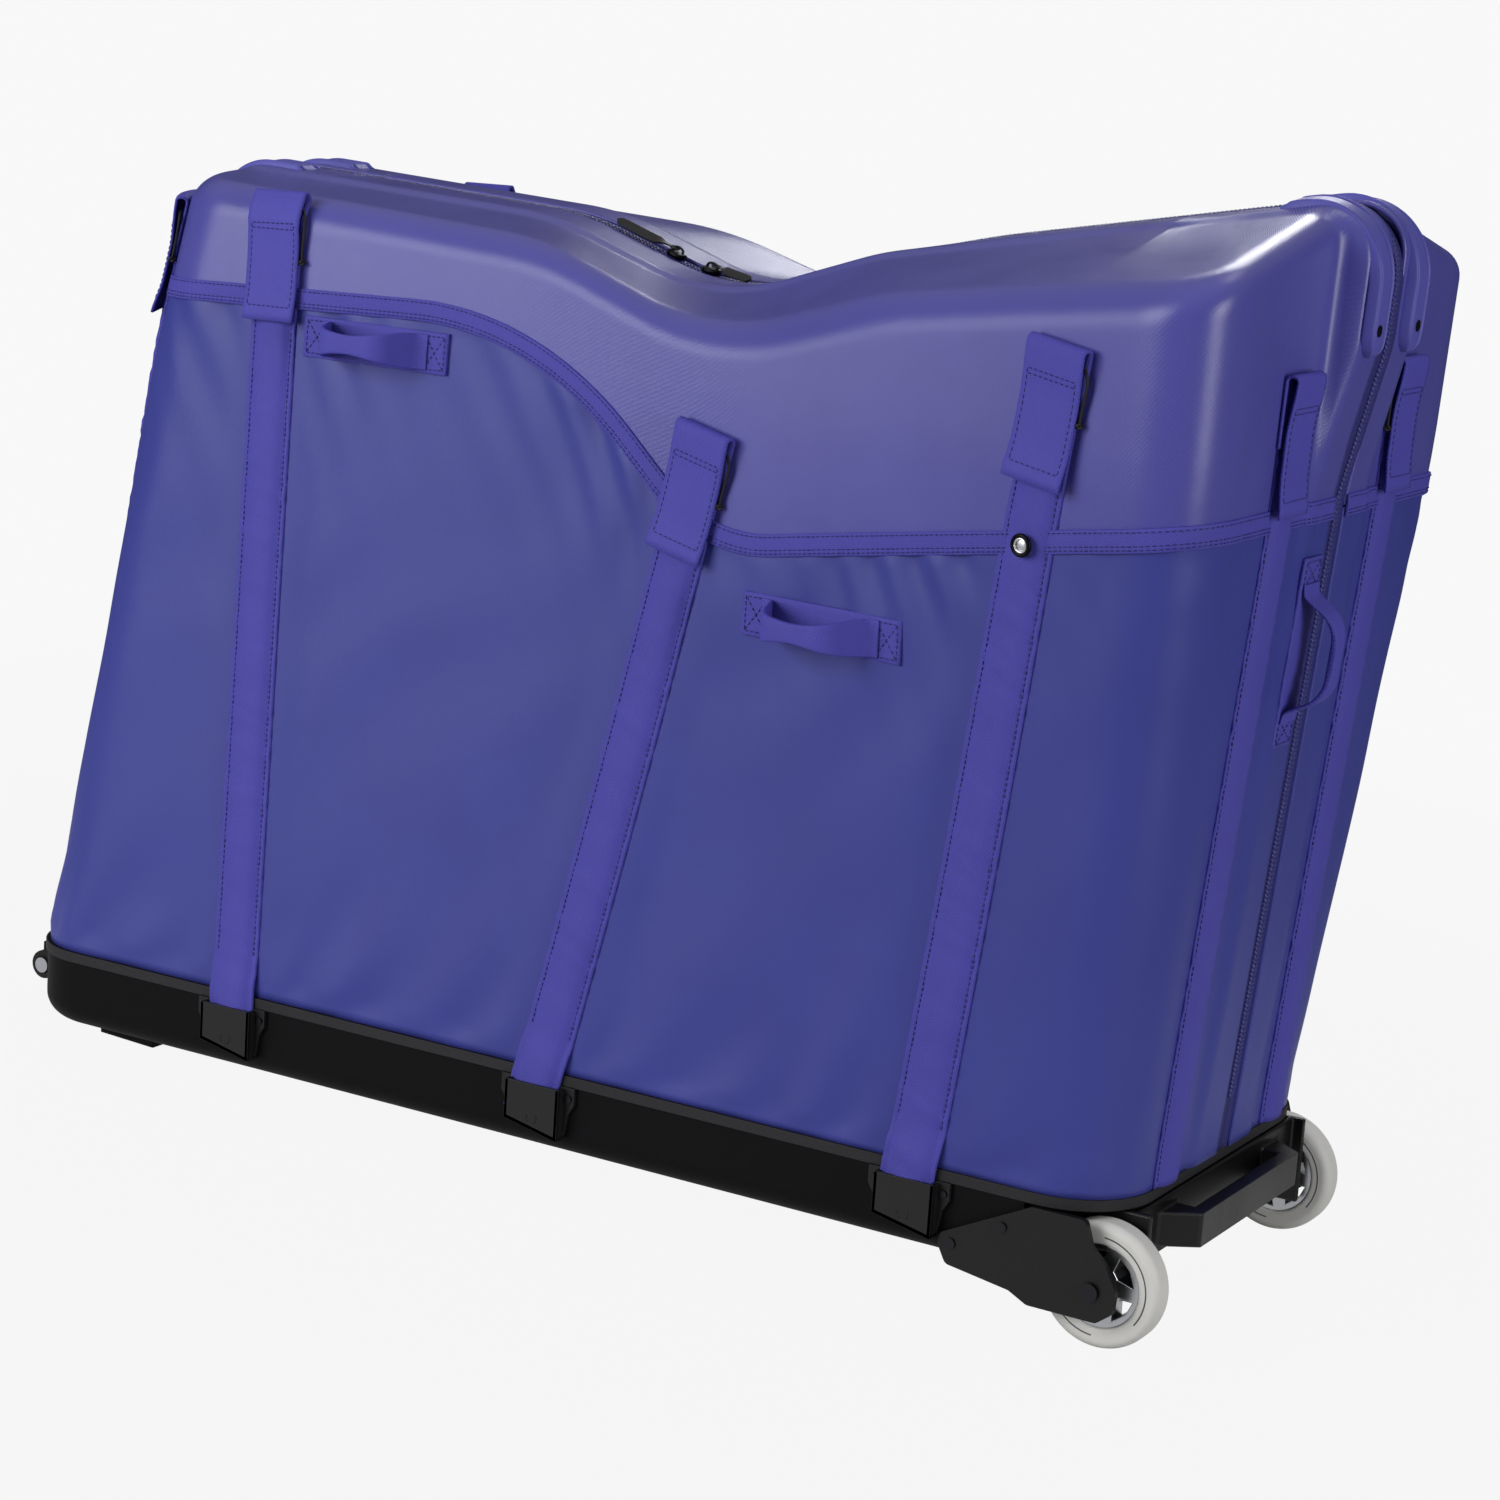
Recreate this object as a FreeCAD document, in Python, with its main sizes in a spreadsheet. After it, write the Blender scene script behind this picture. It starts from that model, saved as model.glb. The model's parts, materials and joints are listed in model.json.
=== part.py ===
import FreeCAD, Part
import Sketcher
import math
import os
import re

Vector = FreeCAD.Vector
Rotation = FreeCAD.Rotation
Placement = FreeCAD.Placement

# Bike travel case: a black tray on two wheels carries two soft-walled halves that zip together.
# X runs along the case from the wheel axle towards the wheel end, Y across it, Z up from the tray underside.
# At the end every sub-part is leaned by the stance, so that the wheels and the skid stand on one floor.

sizes = {
    # wheels
    "wheel_diameter": 100,
    "wheel_width": 24,
    "wheel_track": 343,
    "axle_height": 5.4,
    "tyre_round": 7,
    "hub_diameter": 66,
    "hub_rim": 4,
    "hub_width": 20,
    "boss_diameter": 31,
    "spoke_width": 8,
    "bearing_outer": 22,
    "bearing_bore": 8,
    "bearing_width": 7,
    "bolt_head_diameter": 15,
    "bolt_head": 3,
    "running_gap": 0.3,
    "overrun": 5,
    # tray
    "tray_left": 1065,
    "tray_right": 12,
    "tray_half": 193,
    "tray_corner": 65,
    "tray_wall": 4,
    "tray_round": 22,
    "rim_height": 70,
    "binding_height": 9,
    "binding_thickness": 2,
    "well_back": 62,
    "well_half": 150,
    "well_top": 60,
    "board_thickness": 8,
    "board_margin": 24,
    # skid and rub tube at the front end
    "skid_back": 955,
    "skid_length": 60,
    "skid_half": 172,
    "skid_drop": 6,
    "rub_diameter": 26,
    "rub_half": 142,
    "rub_height": 32,
    "rub_core_diameter": 14,
    "rub_core_stand": 2,
    "saddle_width": 20,
    "saddle_half": 112,
    "saddle_wall": 4,
    # carrier and cheeks at the wheel end
    "lug_thickness": 6,
    "lug_drop": 18,
    "lug_reach": 14,
    "lug_top": 60,
    "carrier_depth": 32,
    "carrier_half": 120,
    "carrier_slope": 23,
    "carrier_bottom": 22,
    "carrier_top": 50,
    "grip_depth": 12,
    "grip_half": 84,
    "grip_gap": 16,
    "cheek_thickness": 5.5,
    "cheek_round": 6,
    "rivet_diameter": 9,
    "rivet_height": 1.5,
    # strap sockets on the tray sides
    "socket_width": 52,
    "socket_depth": 13,
    "socket_bottom": 20,
    "socket_top": 60,
    "socket_wall": 3,
    "ear_width": 9,
    "ear_height": 16,
    "ear_thickness": 4,
    # walls of the case at three levels
    "seam_gap": 0.3,
    "waist_height": 600,
    "waist_left": 990,
    "waist_right": 55,
    "waist_half_left": 160,
    "waist_half_right": 250,
    "crown_over_waist": 230,
    "crown_left": 945,
    "crown_right": 62,
    "crown_half_left": 145,
    "crown_half_right": 256,
    "flare_start": 850,
    "wall_thickness": 5,
    # spine that carries the zip over the top and down both ends
    "spine_half": 58,
    "spine_lift": 2,
    "front_top_reach": 24,
    "front_top_over_waist": 162,
    "knee_back": 627,
    "knee_over_waist": 145,
    "dip_back": 466,
    "dip_over_waist": 92,
    "rise_back": 319,
    "rise_over_waist": 143,
    "rear_top_reach": 26,
    "rear_top_over_waist": 221,
    "rear_step_reach": 21,
    "rear_step_over_waist": 115,
    "front_top_round": 50,
    "knee_round": 280,
    "dip_round": 195,
    "rise_round": 250,
    "rear_top_round": 48,
    "end_round": 90,
    # zip
    "zip_half": 13,
    "zip_split": 0.25,
    "tape_thickness": 2,
    "chain_half": 3,
    "chain_height": 2.2,
    "slider_length": 14,
    "slider_half": 6,
    "slider_foot": 3,
    "slider_plate": 3,
    "slider_lift": 2.5,
    "slider_bridge": 4,
    "front_slider_back": 541,
    "pull_width": 9,
    "pull_thickness": 2,
    "front_pull_length": 62,
    "rear_pull_length": 40,
    "pin_diameter": 2.4,
    # corner guards
    "guard_inner": 22,
    "guard_outer": 54,
    "guard_thickness": 7,
    "guard_run": 75,
    "guard_over_waist": 112,
    "guard_screw_over_waist": 128,
    "guard_screw_side": 40,
    "guard_screw_diameter": 9,
    "guard_screw_stand": 1,
    # hem between fabric wall and upper shell
    "hem_front_over_waist": 57,
    "hem_high_back": 563,
    "hem_high_over_waist": 72,
    "hem_low_back": 381,
    "hem_low_under_waist": 82,
    "hem_rear_under_waist": 10,
    "hem_high_round": 330,
    "hem_low_round": 130,
    "hem_tape_width": 24,
    "hem_tape_thickness": 2.5,
    # stays, sleeves and caps
    "sleeve_width": 46,
    "sleeve_thickness": 7,
    "stay_width": 28,
    "stay_thickness": 4,
    "stay_cover": 1.5,
    "stay_end_margin": 12,
    "cap_width": 52,
    "cap_length": 100,
    "cap_thickness": 4,
    "cap_overhang": 6,
    "cord_width": 5,
    "cord_length": 34,
    "first_stay_foot": 820,
    "first_stay_head": 834,
    "first_stay_over_waist": 138,
    "middle_stay_foot": 503,
    "middle_stay_head": 386,
    "middle_stay_over_waist": 2,
    "last_stay_foot": 159,
    "last_stay_head": 68,
    "last_stay_over_waist": 106,
    "end_stay_foot": 104,
    "end_stay_head": 108,
    "rear_stay_over_waist": 90,
    "front_stay_over_waist": 128,
    "eyelet_under_waist": 35,
    "eyelet_diameter": 18,
    "eyelet_hole": 9,
    "eyelet_thickness": 1.5,
    # handles
    "patch_half": 74,
    "patch_height": 34,
    "patch_thickness": 2.5,
    "loop_half": 48,
    "loop_reach": 30,
    "loop_width": 22,
    "loop_thickness": 4,
    "loop_slope": 20,
    "loop_round": 14,
    "loop_axis": 13,
    "ear_reach": 17,
    "ear_gap": 0.5,
    "ear_depth": 10,
    "front_handle_back": 724,
    "front_handle_over_waist": 35,
    "rear_handle_back": 268,
    "rear_handle_under_waist": 127,
    "end_handle_under_waist": 118,
    "end_handle_side": 38,
    # bike stand on the floor board
    "rail_front": 900,
    "rail_rear": 120,
    "rail_half": 20,
    "rail_height": 20,
    "fork_block_length": 40,
    "fork_block_half": 40,
    "fork_block_height": 60,
    "thru_axle_diameter": 12,
    "thru_axle_half": 62,
    "thru_axle_drop": 15,
    "rest_back": 470,
    "rest_length": 60,
    "rest_half": 36,
    "rest_height": 70,
    "rest_notch_diameter": 46,
}

# Where the rear slider sits on the dip's arc, in degrees
turns = {
    "rear_slider_turn": 11.4,
}

# Sizes worked out from the ones above. The upper half of the case is measured from its waist.
# The stance leans the case until the skid's sole and both tyres meet the floor.
derived = {
    "crown_height": "waist_height + crown_over_waist",
    "front_top_height": "waist_height + front_top_over_waist",
    "knee_height": "waist_height + knee_over_waist",
    "dip_height": "waist_height + dip_over_waist",
    "rise_height": "waist_height + rise_over_waist",
    "rear_top_height": "waist_height + rear_top_over_waist",
    "rear_step_height": "waist_height + rear_step_over_waist",
    "guard_bottom": "waist_height + guard_over_waist",
    "guard_screw_height": "waist_height + guard_screw_over_waist",
    "hem_front_height": "waist_height + hem_front_over_waist",
    "hem_high": "waist_height + hem_high_over_waist",
    "first_stay_height": "waist_height + first_stay_over_waist",
    "middle_stay_height": "waist_height + middle_stay_over_waist",
    "last_stay_height": "waist_height + last_stay_over_waist",
    "rear_stay_height": "waist_height + rear_stay_over_waist",
    "front_stay_height": "waist_height + front_stay_over_waist",
    "front_handle_height": "waist_height + front_handle_over_waist",
    "hem_low": "waist_height - hem_low_under_waist",
    "hem_rear_height": "waist_height - hem_rear_under_waist",
    "eyelet_height": "waist_height - eyelet_under_waist",
    "rear_handle_height": "waist_height - rear_handle_under_waist",
    "end_handle_height": "waist_height - end_handle_under_waist",
    "axle_diameter": "bearing_bore - 2 * running_gap",
    "stance_reach": "sqrt(skid_back ^ 2 + (axle_height + skid_drop) ^ 2)",
    "stance_tilt": "asin(wheel_diameter / 2 / stance_reach) - atan((axle_height + skid_drop) / skid_back)",
    "stance_z": "wheel_diameter / 2 - axle_height * cos(stance_tilt)",
    "fall_turn": "atan((knee_height - dip_height) / (knee_back - dip_back))",
    "rise_turn": "atan((rise_height - dip_height) / (dip_back - rise_back))",
    "dip_share": "dip_round / (1 + cos(fall_turn + rise_turn))",
    "dip_centre_x": "dip_share * (sin(fall_turn) - sin(rise_turn)) - dip_back",
    "dip_centre_z": "dip_height + dip_share * (cos(fall_turn) + cos(rise_turn))",
    "front_slider_z": "dip_height + (front_slider_back - dip_back) * tan(fall_turn)",
    "rear_slider_x": "dip_centre_x - dip_round * sin(rear_slider_turn)",
    "rear_slider_z": "dip_centre_z - dip_round * cos(rear_slider_turn)",
    "end_turn": "atan((waist_right - tray_right) / (waist_height - rim_height))",
    "side_face": "tray_half + binding_thickness",
    "wall_foot": "rim_height + seam_gap",
}

doc = FreeCAD.newDocument("bike_travel_case")
sheet = doc.addObject("Spreadsheet::Sheet", "Sizes")
words = set(sizes) | set(turns) | set(derived) | {"stance_x"}


def linked(text):
    """Write an expression with the sheet's name in front of every size."""
    return re.sub(r"[a-z_]+", lambda found: "Sizes." + found[0] if found[0] in words else found[0], text)


row = 0
for table in (sizes, turns):
    for word, amount in table.items():
        row += 1
        sheet.set("A%d" % row, word)
        sheet.set("B%d" % row, "%g%s" % (amount, " deg" if table is turns else ""))
        sheet.setAlias("B%d" % row, word)
for word, formula in derived.items():
    row += 1
    sheet.set("A%d" % row, word)
    sheet.set("B%d" % row, "=" + formula)
    sheet.setAlias("B%d" % row, word)
row += 1
sheet.set("A%d" % row, "stance_x")
sheet.set("B%d" % row, "0")
sheet.setAlias("B%d" % row, "stance_x")
doc.recompute()

nodes = []


def num(text):
    """The value of an expression in the sheet's sizes."""
    value = sheet.evalExpression(linked(text))
    return float(getattr(value, "Value", value))


def bind(thing, field, text):
    thing.setExpression(field, linked(text))


def stand(node, x="0", y="0", z="0", turn="0 deg"):
    """Set a sub-part's own origin at a point of the case and lean it by the stance."""
    node.Placement = Placement(Vector(0, 0, 0), Rotation(Vector(0, 1, 0), 1))
    bind(node, "Placement.Base.x", "stance_x + (%s) * cos(stance_tilt) - (%s) * sin(stance_tilt)" % (x, z))
    bind(node, "Placement.Base.y", y)
    bind(node, "Placement.Base.z", "stance_z + (%s) * sin(stance_tilt) + (%s) * cos(stance_tilt)" % (x, z))
    bind(node, "Placement.Rotation.Angle", "%s - stance_tilt" % turn)
    nodes.append(node)
    return node


def set_box(block, x, y, z):
    """Bind a box between its low and high sides on each axis."""
    for field, letter, (low, high) in (("Length", "x", x), ("Width", "y", y), ("Height", "z", z)):
        bind(block, field, "(%s) - (%s)" % (high, low))
        bind(block, "Placement.Base." + letter, low)


turn_to = {"x": Rotation(Vector(0, 1, 0), 90), "y": Rotation(Vector(1, 0, 0), -90), "z": Rotation()}


def set_rod(rod, axis, at, radius, span):
    """Bind a cylinder along one axis from the low to the high end of its span."""
    rod.Placement = Placement(Vector(0, 0, 0), turn_to[axis])
    bind(rod, "Radius", radius)
    bind(rod, "Height", "(%s) - (%s)" % (span[1], span[0]))
    for letter, place in at.items():
        bind(rod, "Placement.Base." + letter, place)
    bind(rod, "Placement.Base." + axis, span[0])


def box(name, x, y, z):
    block = doc.addObject("Part::Box", name)
    set_box(block, x, y, z)
    return block


def rod(name, axis, at, radius, span):
    piece = doc.addObject("Part::Cylinder", name)
    set_rod(piece, axis, at, radius, span)
    return piece


def join(name, pieces):
    joined = doc.addObject("Part::MultiFuse", name)
    joined.Shapes = pieces
    return joined


def cut(name, base, tools):
    piece = doc.addObject("Part::Cut", name)
    piece.Base = base
    piece.Tool = tools[0] if len(tools) == 1 else join(name + "_tools", tools)
    return piece


def group(name, pieces):
    gathered = doc.addObject("Part::Compound", name)
    gathered.Links = pieces
    return gathered


def body(name):
    return doc.addObject("PartDesign::Body", name)


def body_box(owner, name, x, y, z, kind="Additive"):
    block = owner.newObject("PartDesign::%sBox" % kind, name)
    set_box(block, x, y, z)
    return block


def body_rod(owner, name, axis, at, radius, span, kind="Additive"):
    piece = owner.newObject("PartDesign::%sCylinder" % kind, name)
    set_rod(piece, axis, at, radius, span)
    return piece


def edge_names(shape, wanted):
    return ["Edge%d" % (i + 1) for i, edge in enumerate(shape.Edges) if wanted(edge)]


def round_edges(owner, name, radius, wanted):
    """Round the edges of a body's last feature that pass the test."""
    doc.recompute()
    base = owner.Tip
    fillet = owner.newObject("PartDesign::Fillet", name)
    fillet.Base = (base, edge_names(base.Shape, wanted))
    bind(fillet, "Radius", radius)
    return fillet


straight_share = 0.01


def upright(edge):
    low, high = edge.firstVertex().Point, edge.lastVertex().Point
    return math.hypot(high.x - low.x, high.y - low.y) < edge.Length * straight_share


def across(edge):
    low, high = edge.firstVertex().Point, edge.lastVertex().Point
    return math.hypot(high.x - low.x, high.z - low.z) < edge.Length * straight_share


def lowest(edge):
    return edge.BoundBox.ZMax < num("tray_wall / 2")


def polygon_sketch(owner, name, role, corners, offset):
    """A closed outline whose corners are each held at bound distances from the origin."""
    sketch = owner.newObject("Sketcher::SketchObject", name)
    plane = [item for item in owner.Origin.OriginFeatures if item.Role == role][0]
    sketch.AttachmentSupport = [(plane, "")]
    sketch.MapMode = "FlatFace"
    bind(sketch, "AttachmentOffset.Base.z", offset)
    places = [Vector(num(across_text), num(up_text), 0) for across_text, up_text in corners]
    count = len(places)
    for i in range(count):
        sketch.addGeometry(Part.LineSegment(places[i], places[(i + 1) % count]), False)
    for i in range(count):
        sketch.addConstraint(Sketcher.Constraint("Coincident", i, 2, (i + 1) % count, 1))
    for i, texts in enumerate(corners):
        for kind, text in zip(("DistanceX", "DistanceY"), texts):
            index = sketch.addConstraint(Sketcher.Constraint(kind, -1, 1, i, 1, num(text)))
            sketch.setExpression("Constraints[%d]" % index, linked(text))
    return sketch


def mirror(name, source):
    """The same piece on the far side of the case."""
    twin = doc.addObject("Part::Mirroring", name)
    twin.Source = source
    twin.Base = Vector(0, 0, 0)
    twin.Normal = Vector(0, 1, 0)
    nodes.append(twin)
    return twin


def feature(name, shape):
    piece = doc.addObject("Part::Feature", name)
    piece.Shape = shape
    return stand(piece)


# Tray
tray_block = body("tray_block")
body_box(tray_block, "tray_solid", ("-tray_left", "tray_right"), ("-tray_half", "tray_half"),
         ("0", "rim_height"))
round_edges(tray_block, "tray_corners", "tray_corner", upright)
round_edges(tray_block, "tray_bottom_round", "tray_round", lowest)
for side, low, high in (("near", "-tray_half - overrun", "-well_half"),
                        ("far", "well_half", "tray_half + overrun")):
    body_box(tray_block, side + "_well", ("-well_back", "tray_right + overrun"), (low, high),
             ("-overrun", "well_top"), "Subtractive")

tray_cavity = body("tray_cavity")
body_box(tray_cavity, "cavity_solid", ("tray_wall - tray_left", "-well_back - tray_wall"),
         ("tray_wall - tray_half", "tray_half - tray_wall"), ("tray_wall", "rim_height + overrun"))


def front_upright(edge):
    return upright(edge) and edge.BoundBox.XMax < num("-tray_left / 2")


def cavity_floor(edge):
    return edge.BoundBox.ZMax < num("tray_wall + tray_wall / 2")


round_edges(tray_cavity, "cavity_corners", "tray_corner - tray_wall", front_upright)
round_edges(tray_cavity, "cavity_bottom_round", "tray_round - tray_wall", cavity_floor)
body_box(tray_cavity, "cavity_nose", ("-well_back - tray_wall - overrun", "tray_right - tray_wall"),
         ("tray_wall - well_half", "well_half - tray_wall"), ("tray_round", "rim_height + overrun"))
base_tray = stand(cut("base_tray", tray_block, [tray_cavity]))

# Binding strip round the rim
binding_band = body("binding_band")
body_box(binding_band, "binding_solid",
         ("-tray_left - binding_thickness", "tray_right + binding_thickness"),
         ("-side_face", "side_face"), ("rim_height - binding_height", "rim_height"))
round_edges(binding_band, "binding_corners", "tray_corner + binding_thickness", upright)
binding_core = body("binding_core")
body_box(binding_core, "binding_core_solid", ("-tray_left", "tray_right"), ("-tray_half", "tray_half"),
         ("rim_height - binding_height - overrun", "rim_height + overrun"))
round_edges(binding_core, "binding_core_corners", "tray_corner", upright)
stand(cut("rim_binding", binding_band, [binding_core]))

# Floor board inside the tray
floor_board = body("floor_board")
body_box(floor_board, "board_solid", ("board_margin - tray_left", "-well_back - board_margin"),
         ("board_margin - tray_half", "tray_half - board_margin"),
         ("tray_wall", "tray_wall + board_thickness"))
round_edges(floor_board, "board_corners", "tray_corner - board_margin", upright)
stand(floor_board)

# Skid under the front end, with its sole level with the floor when the case stands
skid = body("front_skid")
sole_rise = "(skid_length / 2) * tan(stance_tilt)"
skid_outline = (
    ("-skid_back - skid_length / 2", "overrun"),
    ("-skid_back - skid_length / 2", "%s - skid_drop" % sole_rise),
    ("-skid_back + skid_length / 2", "-(%s) - skid_drop" % sole_rise),
    ("-skid_back + skid_length / 2", "overrun"),
)
skid_sketch = polygon_sketch(skid, "skid_side", "XZ_Plane", skid_outline, "-skid_half")
skid_pad = skid.newObject("PartDesign::Pad", "skid_pad")
skid_pad.Profile = skid_sketch
bind(skid_pad, "Length", "2 * skid_half")
body_box(skid, "skid_seat", ("-skid_back - skid_length", "-skid_back + skid_length"),
         ("-tray_half", "tray_half"), ("0", "2 * overrun"), "Subtractive")
stand(skid)

# Rub tube across the front end, on two saddles, with a steel core
rub_x = "(-tray_left - rub_diameter / 2 - saddle_wall / 2)"
rub_at = {"x": rub_x, "z": "rub_height"}
rub_tube = body("rub_tube")
body_rod(rub_tube, "rub_solid", "y", rub_at, "rub_diameter / 2", ("-rub_half", "rub_half"))
body_rod(rub_tube, "rub_bore", "y", rub_at, "rub_core_diameter / 2",
         ("-rub_half - overrun", "rub_half + overrun"), "Subtractive")
stand(rub_tube)
rub_core = body("rub_core")
body_rod(rub_core, "core_solid", "y", rub_at, "rub_core_diameter / 2",
         ("-rub_half - rub_core_stand", "rub_half + rub_core_stand"))
stand(rub_core)
saddles = []
for side, sign in (("near", "-1"), ("far", "1")):
    saddle_mid = "%s * saddle_half" % sign
    block = box(side + "_saddle_block", ("%s - rub_diameter / 2 - saddle_wall" % rub_x, "-tray_left"),
                ("%s - saddle_width / 2" % saddle_mid, "%s + saddle_width / 2" % saddle_mid),
                ("rub_height - rub_diameter / 2 - saddle_wall / 2",
                 "rub_height + rub_diameter / 2 + saddle_wall / 2"))
    hole = rod(side + "_saddle_hole", "y", rub_at, "rub_diameter / 2", ("-rub_half", "rub_half"))
    saddles.append(cut(side + "_saddle", block, [hole]))
stand(group("rub_saddles", saddles))

# Carrier at the wheel end: a plate with two axle lugs, and a block with sloped ends whose outer edge is a
# grip bar with room for the fingers behind it
finger_span = ("tray_right + carrier_depth - grip_depth - grip_gap", "tray_right + carrier_depth - grip_depth")
lug_roof = "lug_top - running_gap"
carrier_plate = box("carrier_plate", ("tray_right", finger_span[0]),
                    ("-well_half - lug_thickness", "well_half + lug_thickness"), ("carrier_bottom", lug_roof))
carrier_block = doc.addObject("Part::Wedge", "carrier_block")
carrier_block.Placement = Placement(Vector(0, 0, 0), Rotation(Vector(0, 0, 1), -90))
for field, amount in (("Xmin", "-carrier_half"), ("Xmax", "carrier_half"),
                      ("X2min", "carrier_slope - carrier_half"), ("X2max", "carrier_half - carrier_slope"),
                      ("Ymin", "tray_right"), ("Ymax", "tray_right + carrier_depth"),
                      ("Zmin", "carrier_bottom"), ("Z2min", "carrier_bottom"),
                      ("Zmax", "carrier_top"), ("Z2max", "carrier_top")):
    bind(carrier_block, field, amount)
lugs = []
for side, low, high in (("near", "-well_half - lug_thickness", "-well_half"),
                        ("far", "well_half", "well_half + lug_thickness")):
    lugs.append(box(side + "_lug", ("-well_back + tray_wall", "tray_right + lug_reach"), (low, high),
                    ("axle_height - lug_drop", lug_roof)))
finger_gap = box("finger_gap", finger_span, ("-grip_half", "grip_half"),
                 ("carrier_bottom - overrun", "carrier_top + overrun"))
axle_hole = rod("axle_hole", "y", {"x": "0", "z": "axle_height"}, "axle_diameter / 2",
                ("-side_face - overrun", "side_face + overrun"))
stand(cut("rear_carrier", join("carrier_solid", [carrier_plate, carrier_block] + lugs), [finger_gap, axle_hole]))

# Wheel cheeks on the tray sides, reaching over the axle
cheek_shares = ((-1.30, 0.13), (-1.22, -0.02), (-0.67, -0.10), (-0.51, -0.18), (0.07, -0.18), (0.20, -0.08),
                (0.21, 0.10), (0.11, 0.28), (-0.02, 0.41), (-0.08, 0.60), (-0.53, 0.60), (-1.28, 0.22))
cheek = body("near_wheel_cheek")
cheek_outline = [("%g * wheel_diameter" % a, "%g * wheel_diameter" % b) for a, b in cheek_shares]
cheek_sketch = polygon_sketch(cheek, "cheek_outline", "XZ_Plane", cheek_outline, "tray_half")
cheek_pad = cheek.newObject("PartDesign::Pad", "cheek_pad")
cheek_pad.Profile = cheek_sketch
bind(cheek_pad, "Length", "cheek_thickness")
round_edges(cheek, "cheek_corners", "cheek_round", across)
body_rod(cheek, "cheek_hole", "y", {"x": "0", "z": "axle_height"}, "axle_diameter / 2",
         ("-tray_half - cheek_thickness - overrun", "-tray_half + overrun"), "Subtractive")
stand(cheek)
mirror("far_wheel_cheek", cheek)

rivets = []


def rivet_pair(name, at, radius, face):
    """Two rivet heads, one on each side of the case, that stand on a face."""
    for side, span in (("near", ("-%s - rivet_height" % face, "-" + face)),
                       ("far", (face, "%s + rivet_height" % face))):
        rivets.append(rod("%s_%s" % (side, name), "y", at, radius, span))


rivet_shares = ((-1.19, 0.15), (-0.77, 0.38))
cheek_face = "(tray_half + cheek_thickness)"
for i, (a, b) in enumerate(rivet_shares):
    rivet_pair("cheek_rivet_%d" % i, {"x": "%g * wheel_diameter" % a, "z": "%g * wheel_diameter" % b},
               "rivet_diameter / 2", cheek_face)

# Wheels, each turned about its own centre
wheel_mid = "wheel_track / 2"
for side, sign in (("near", "-"), ("far", "")):
    tyre = body(side + "_tyre")
    body_rod(tyre, side + "_tyre_solid", "y", {}, "wheel_diameter / 2",
             ("-wheel_width / 2", "wheel_width / 2"))
    round_edges(tyre, side + "_tyre_round", "tyre_round", lambda edge: edge.isClosed())
    body_rod(tyre, side + "_tyre_bore", "y", {}, "hub_diameter / 2",
             ("-wheel_width / 2 - overrun", "wheel_width / 2 + overrun"), "Subtractive")
    stand(tyre, y=sign + wheel_mid, z="axle_height")

    hub = body(side + "_hub")
    body_rod(hub, side + "_hub_solid", "y", {}, "hub_diameter / 2", ("-hub_width / 2", "hub_width / 2"))
    rim_in = "(hub_diameter / 2 - hub_rim)"
    boss_out = "(boss_diameter / 2 + hub_rim / 2)"
    window = (("boss_diameter / 2 * cos(18 deg)", "spoke_width / 2 + boss_diameter / 8"),
              (rim_in + " * cos(14 deg)", "spoke_width / 2"),
              (rim_in + " * cos(36 deg)", rim_in + " * sin(36 deg)"),
              (rim_in + " * cos(58 deg)", rim_in + " * sin(58 deg)"),
              (boss_out + " * cos(52 deg)", boss_out + " * sin(52 deg)"))
    window_sketch = polygon_sketch(hub, side + "_hub_window", "XZ_Plane", window,
                                   "-hub_width / 2 - overrun")
    window_cut = hub.newObject("PartDesign::Pocket", side + "_hub_window_cut")
    window_cut.Profile = window_sketch
    bind(window_cut, "Length", "hub_width + 2 * overrun")
    window_cut.Reversed = True
    doc.recompute()
    spread = hub.newObject("PartDesign::PolarPattern", side + "_hub_windows")
    spread.Originals = [window_cut]
    spread.Axis = ([item for item in hub.Origin.OriginFeatures if item.Role == "Y_Axis"][0], [""])
    spread.Angle = 360
    spread.Occurrences = 5
    hub.Tip = spread
    body_rod(hub, side + "_hub_bore", "y", {}, "bearing_outer / 2", ("-hub_width", "hub_width"),
             "Subtractive")
    stand(hub, y=sign + wheel_mid, z="axle_height")

    races = []
    for place, low, high in (("outer", "-hub_width / 2", "bearing_width - hub_width / 2"),
                             ("inner", "hub_width / 2 - bearing_width", "hub_width / 2")):
        ring = rod("%s_%s_race" % (side, place), "y", {}, "bearing_outer / 2", (low, high))
        hole = rod("%s_%s_race_bore" % (side, place), "y", {}, "bearing_bore / 2", (low, high))
        races.append(cut("%s_%s_bearing" % (side, place), ring, [hole]))
    stand(group(side + "_bearings", races), y=sign + wheel_mid, z="axle_height")

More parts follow.
